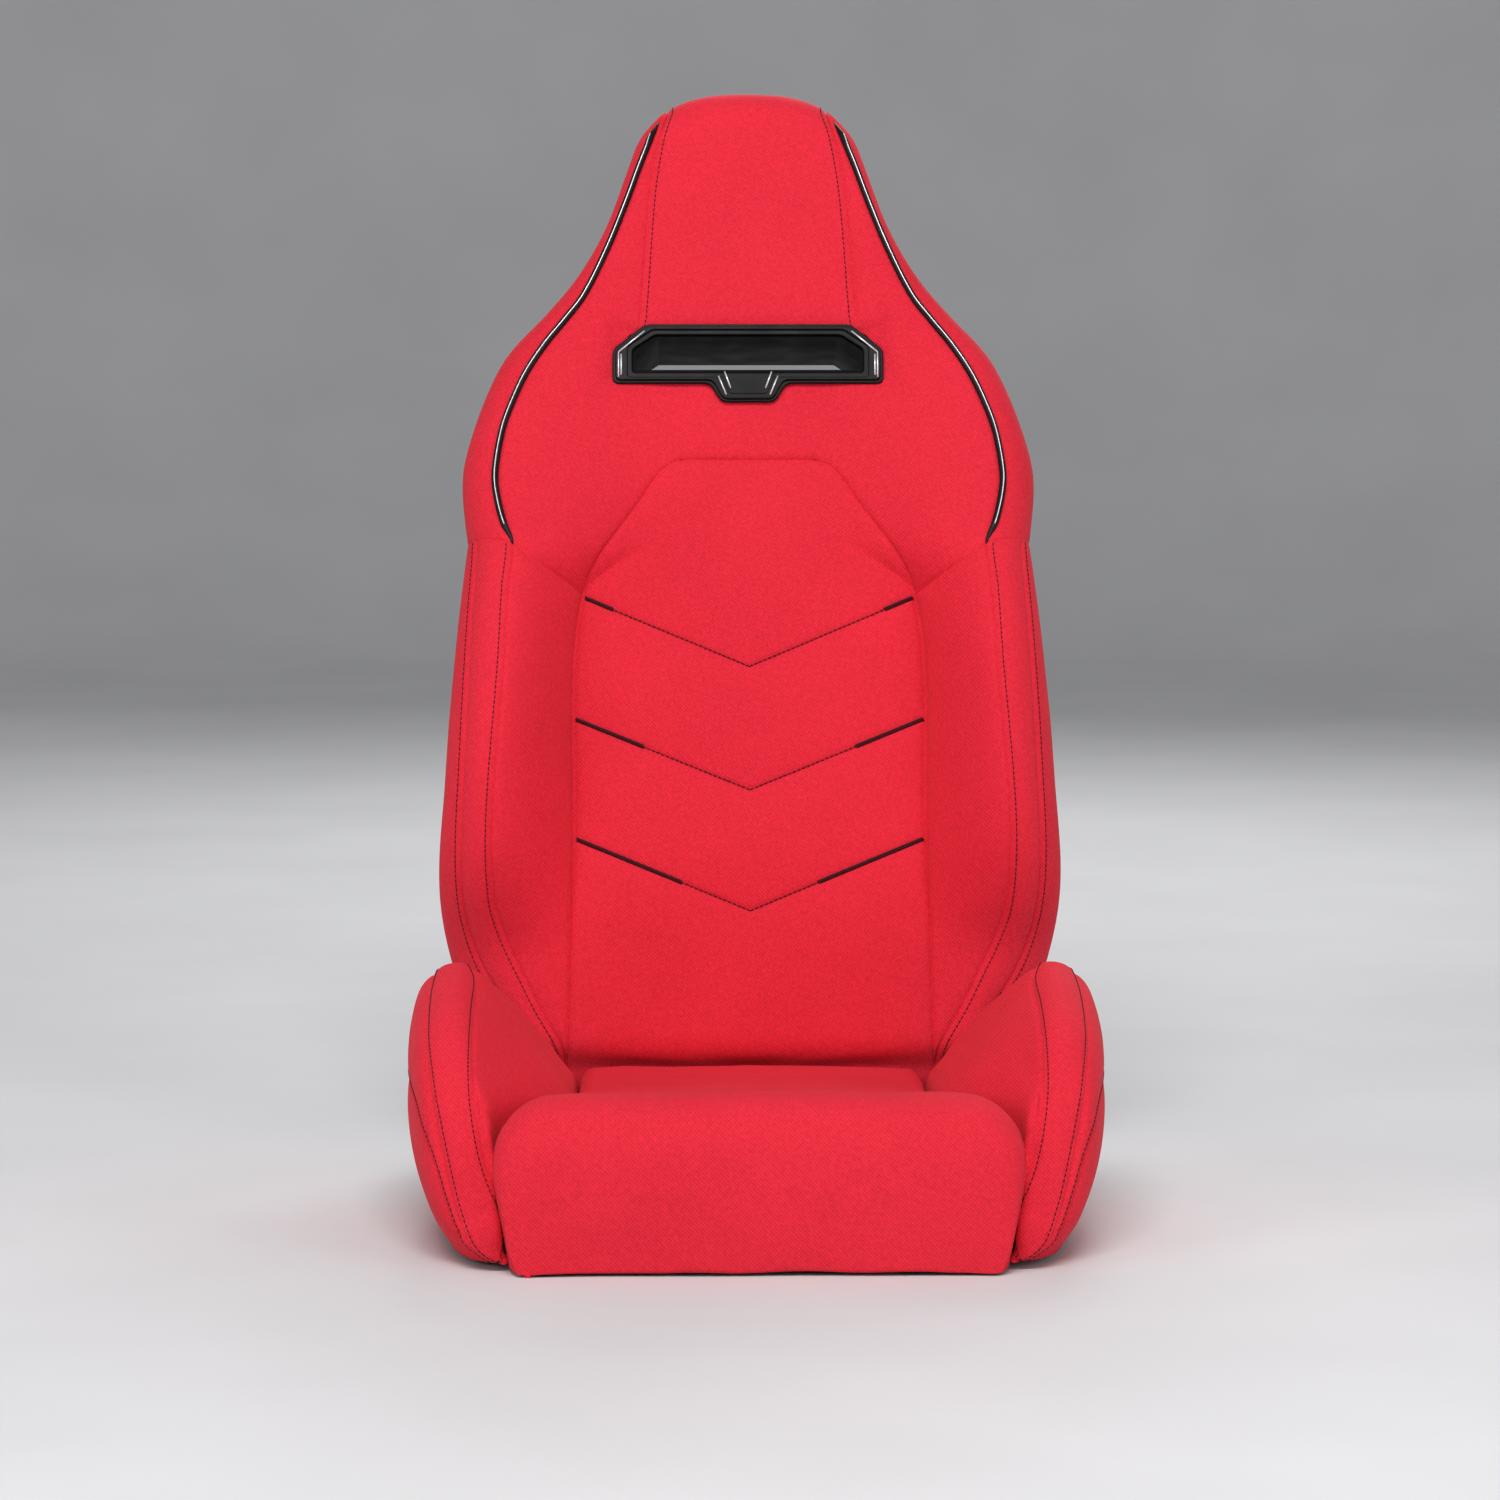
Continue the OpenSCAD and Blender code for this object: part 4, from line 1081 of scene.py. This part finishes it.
# ---- bezel round the harness slot
def plate(name, outer, inner, n0, n1, bevel):
    """Black ring or plate in the backrest's plane, from n0 to n1, with rounded edges."""
    curve = bpy.data.curves.new(name, "CURVE")
    curve.dimensions = "2D"
    curve.fill_mode = "BOTH"
    curve.extrude = (n1 - n0) / 2000 - bevel / 1000
    curve.bevel_depth = bevel / 1000
    curve.bevel_resolution = 3
    curve.offset = -bevel / 1000
    for loop in filter(None, (outer, inner)):
        line = curve.splines.new("POLY")
        line.points.add(len(loop) - 1)
        line.use_cyclic_u = True
        for point, (u, v) in zip(line.points, loop):
            point.co = (u / 1000, v / 1000, 0, 1)
    temp = bpy.data.objects.new(name, curve)
    bpy.context.scene.collection.objects.link(temp)
    bpy.context.view_layer.update()
    mesh = bpy.data.meshes.new_from_object(temp.evaluated_get(bpy.context.evaluated_depsgraph_get()))
    bpy.data.objects.remove(temp)
    co = np.array([tuple(v.co) for v in mesh.vertices]) * 1000
    world = back_to_world(np.stack([co[:, 0], co[:, 1], co[:, 2] + (n0 + n1) / 2], axis=-1))
    for vertex, w in zip(mesh.vertices, world):
        vertex.co = w
    return finish_object(name, mesh, "backrest", SATIN_BLACK)


def rounded(points, r, steps=5):
    """Polygon with every corner rounded to r."""
    out = []
    for i, b in enumerate(points):
        a, c = Vector(points[i - 1]), Vector(points[(i + 1) % len(points)])
        b = Vector(b)
        k = min(r, 0.45 * (a - b).length, 0.45 * (c - b).length)
        start, end = b + (a - b).normalized() * k, b + (c - b).normalized() * k
        for j in range(steps + 1):
            t = j / steps
            out.append(tuple((start.lerp(b, t)).lerp(b.lerp(end, t), t)))
    return out


def mirror_closed(half):
    """Polygon from its half on the +u side, given from the bottom to the top."""
    return half + [(-u, v) for u, v in reversed(half)]


def slot_ring(grow, clip_u, clip_v):
    w, h = 100 + grow, 14 + grow
    return mirror_closed([(w, SLOT_V - h), (w, SLOT_V + h - clip_v), (w - clip_u, SLOT_V + h)])


def bezel_ring(inset, tab_u, tab_w, tab_v, top, clip_u, clip_v):
    """Outline of the bezel with its tab below, drawn in by inset."""
    w, low = 121 - inset, SLOT_V - 27 + inset
    return mirror_closed([(tab_w, SLOT_V - tab_v), (tab_u, low), (w, low), (w, SLOT_V + top - clip_v),
                          (w - clip_u, SLOT_V + top)])


flange = plate("bezel_flange", rounded(bezel_ring(0, 34, 24, 44, 27, 29, 23), 6),
               rounded(slot_ring(3.2, 20, 13), 3), 52.5, 56.8, 1.1)
plate("bezel_face", rounded(bezel_ring(2.6, 31.8, 22.3, 41.6, 24.6, 27.4, 21.2), 5),
      rounded(slot_ring(7.5, 22, 15), 3), 56.4, 59.2, 1.0)
plate("bezel_tab_plate", rounded(mirror_closed([(16.5, SLOT_V - 37), (24, SLOT_V - 19)]), 2.5), None,
      58.9, 60.0, 0.35)
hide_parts("slot_bezel_front")
LINES = [((115.6, -22), (115.6, 1)), ((113.2, -20), (113.2, -1)), ((115.6, 1), (92.5, 20)),
         ((19.5, -38), (26.5, -21)), ((15.5, -32), (21.0, -17))]
lines = []
for s in (-1, 1):
    for ends in LINES:
        a, b = [back_to_world(np.array([s * u, SLOT_V + v, 59.7])) for u, v in ends]
        lines.append(tube_block([a, (a + b) / 2, b], 0.0007, 8))
trims = mesh_object("bezel_bright_lines", lines, "backrest", CHROME)
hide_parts("slot_bezel_trims")

# ---- finishes on the CAD's own parts
FINISH = {
    "black_steel": POWDER, "zinc_steel": ZINC, "brass_bush": BRASS, "black_plastic": GRAINED,
    "gloss_black": SATIN_BLACK, "bright_trim": CHROME, "black_piping": CORD, "red_fabric": RED,
}
for part in frame["record"]["subparts"]:
    ob = frame["nodes"][part["node"]]
    ob.data.materials.clear()
    ob.data.materials.append(LINER if part["node"] == "slot_liner" else FINISH[part["material_slot"]])

# ---- floor, light and camera
scene = bpy.context.scene
FLAT, BEND, WALL = 5.5, 1.8, 3.4  # radius of the flat floor, radius of the bend, height of the wall
TURNS = 96
sweep = [(0.01, 0.0), (FLAT, 0.0)]
for k in range(1, 13):
    a = math.pi / 24 * k
    sweep.append((FLAT + BEND * math.sin(a), BEND - BEND * math.cos(a)))
sweep.append((FLAT + BEND, WALL))
spokes = [2 * math.pi * k / TURNS for k in range(TURNS)]
verts = [(r * math.cos(a), r * math.sin(a), z) for r, z in sweep for a in spokes]
faces = []
for i in range(len(sweep) - 1):
    for k in range(TURNS):
        a, b = TURNS * i + k, TURNS * i + (k + 1) % TURNS
        faces.append((a, b, b + TURNS, a + TURNS))
floor_mesh = bpy.data.meshes.new("floor")
floor_mesh.from_pydata(verts, [], faces)
floor_mesh.shade_smooth()
floor = bpy.data.objects.new("floor", floor_mesh)
scene.collection.objects.link(floor)
pale = Nodes("pale_floor", Roughness=0.7, Specular_IOR_Level=0.2)
pale.mix_colour(pale.spread(pale.noise(3, 2), 0.3, 0.7), (0.66, 0.66, 0.67), (0.70, 0.70, 0.71))
floor_mesh.materials.append(pale.mat)

world = bpy.data.worlds.new("studio")
world.use_nodes = True
background = world.node_tree.nodes["Background"].inputs
background["Color"].default_value = (0.93, 0.94, 0.96, 1)
background["Strength"].default_value = 0.31
scene.world = world
scene.view_settings.view_transform = "Standard"


def softbox(name, place, aim, size, power):
    light = bpy.data.lights.new(name, "AREA")
    light.shape = "RECTANGLE"
    light.size, light.size_y = size
    light.energy = power
    ob = bpy.data.objects.new(name, light)
    ob.location = place
    ob.rotation_euler = (Vector(aim) - Vector(place)).to_track_quat("-Z", "Y").to_euler()
    scene.collection.objects.link(ob)


softbox("key", (-0.2, -2.5, 3.0), (0, 0.1, 0.4), (1.8, 1.2), 94)
softbox("left", (-2.5, -2.1, 1.2), (0, 0.0, 0.3), (1.2, 1.4), 22)
softbox("right", (2.5, -2.1, 1.2), (0, 0.0, 0.3), (1.2, 1.4), 20)
softbox("behind", (0.4, 3.0, 2.4), (0, 0.3, 0.5), (2.0, 1.4), 50)

camera_data = bpy.data.cameras.new("camera")
camera_data.lens = 117.3
camera_data.sensor_width = 36
camera = bpy.data.objects.new("camera", camera_data)
camera.location = (-0.067, -4.035, 0.786)
aim = Vector((math.sin(math.radians(0.9)), math.cos(math.radians(0.9)), -math.tan(math.radians(5.62))))
camera.rotation_euler = aim.to_track_quat("-Z", "Y").to_euler()
scene.collection.objects.link(camera)
scene.camera = camera
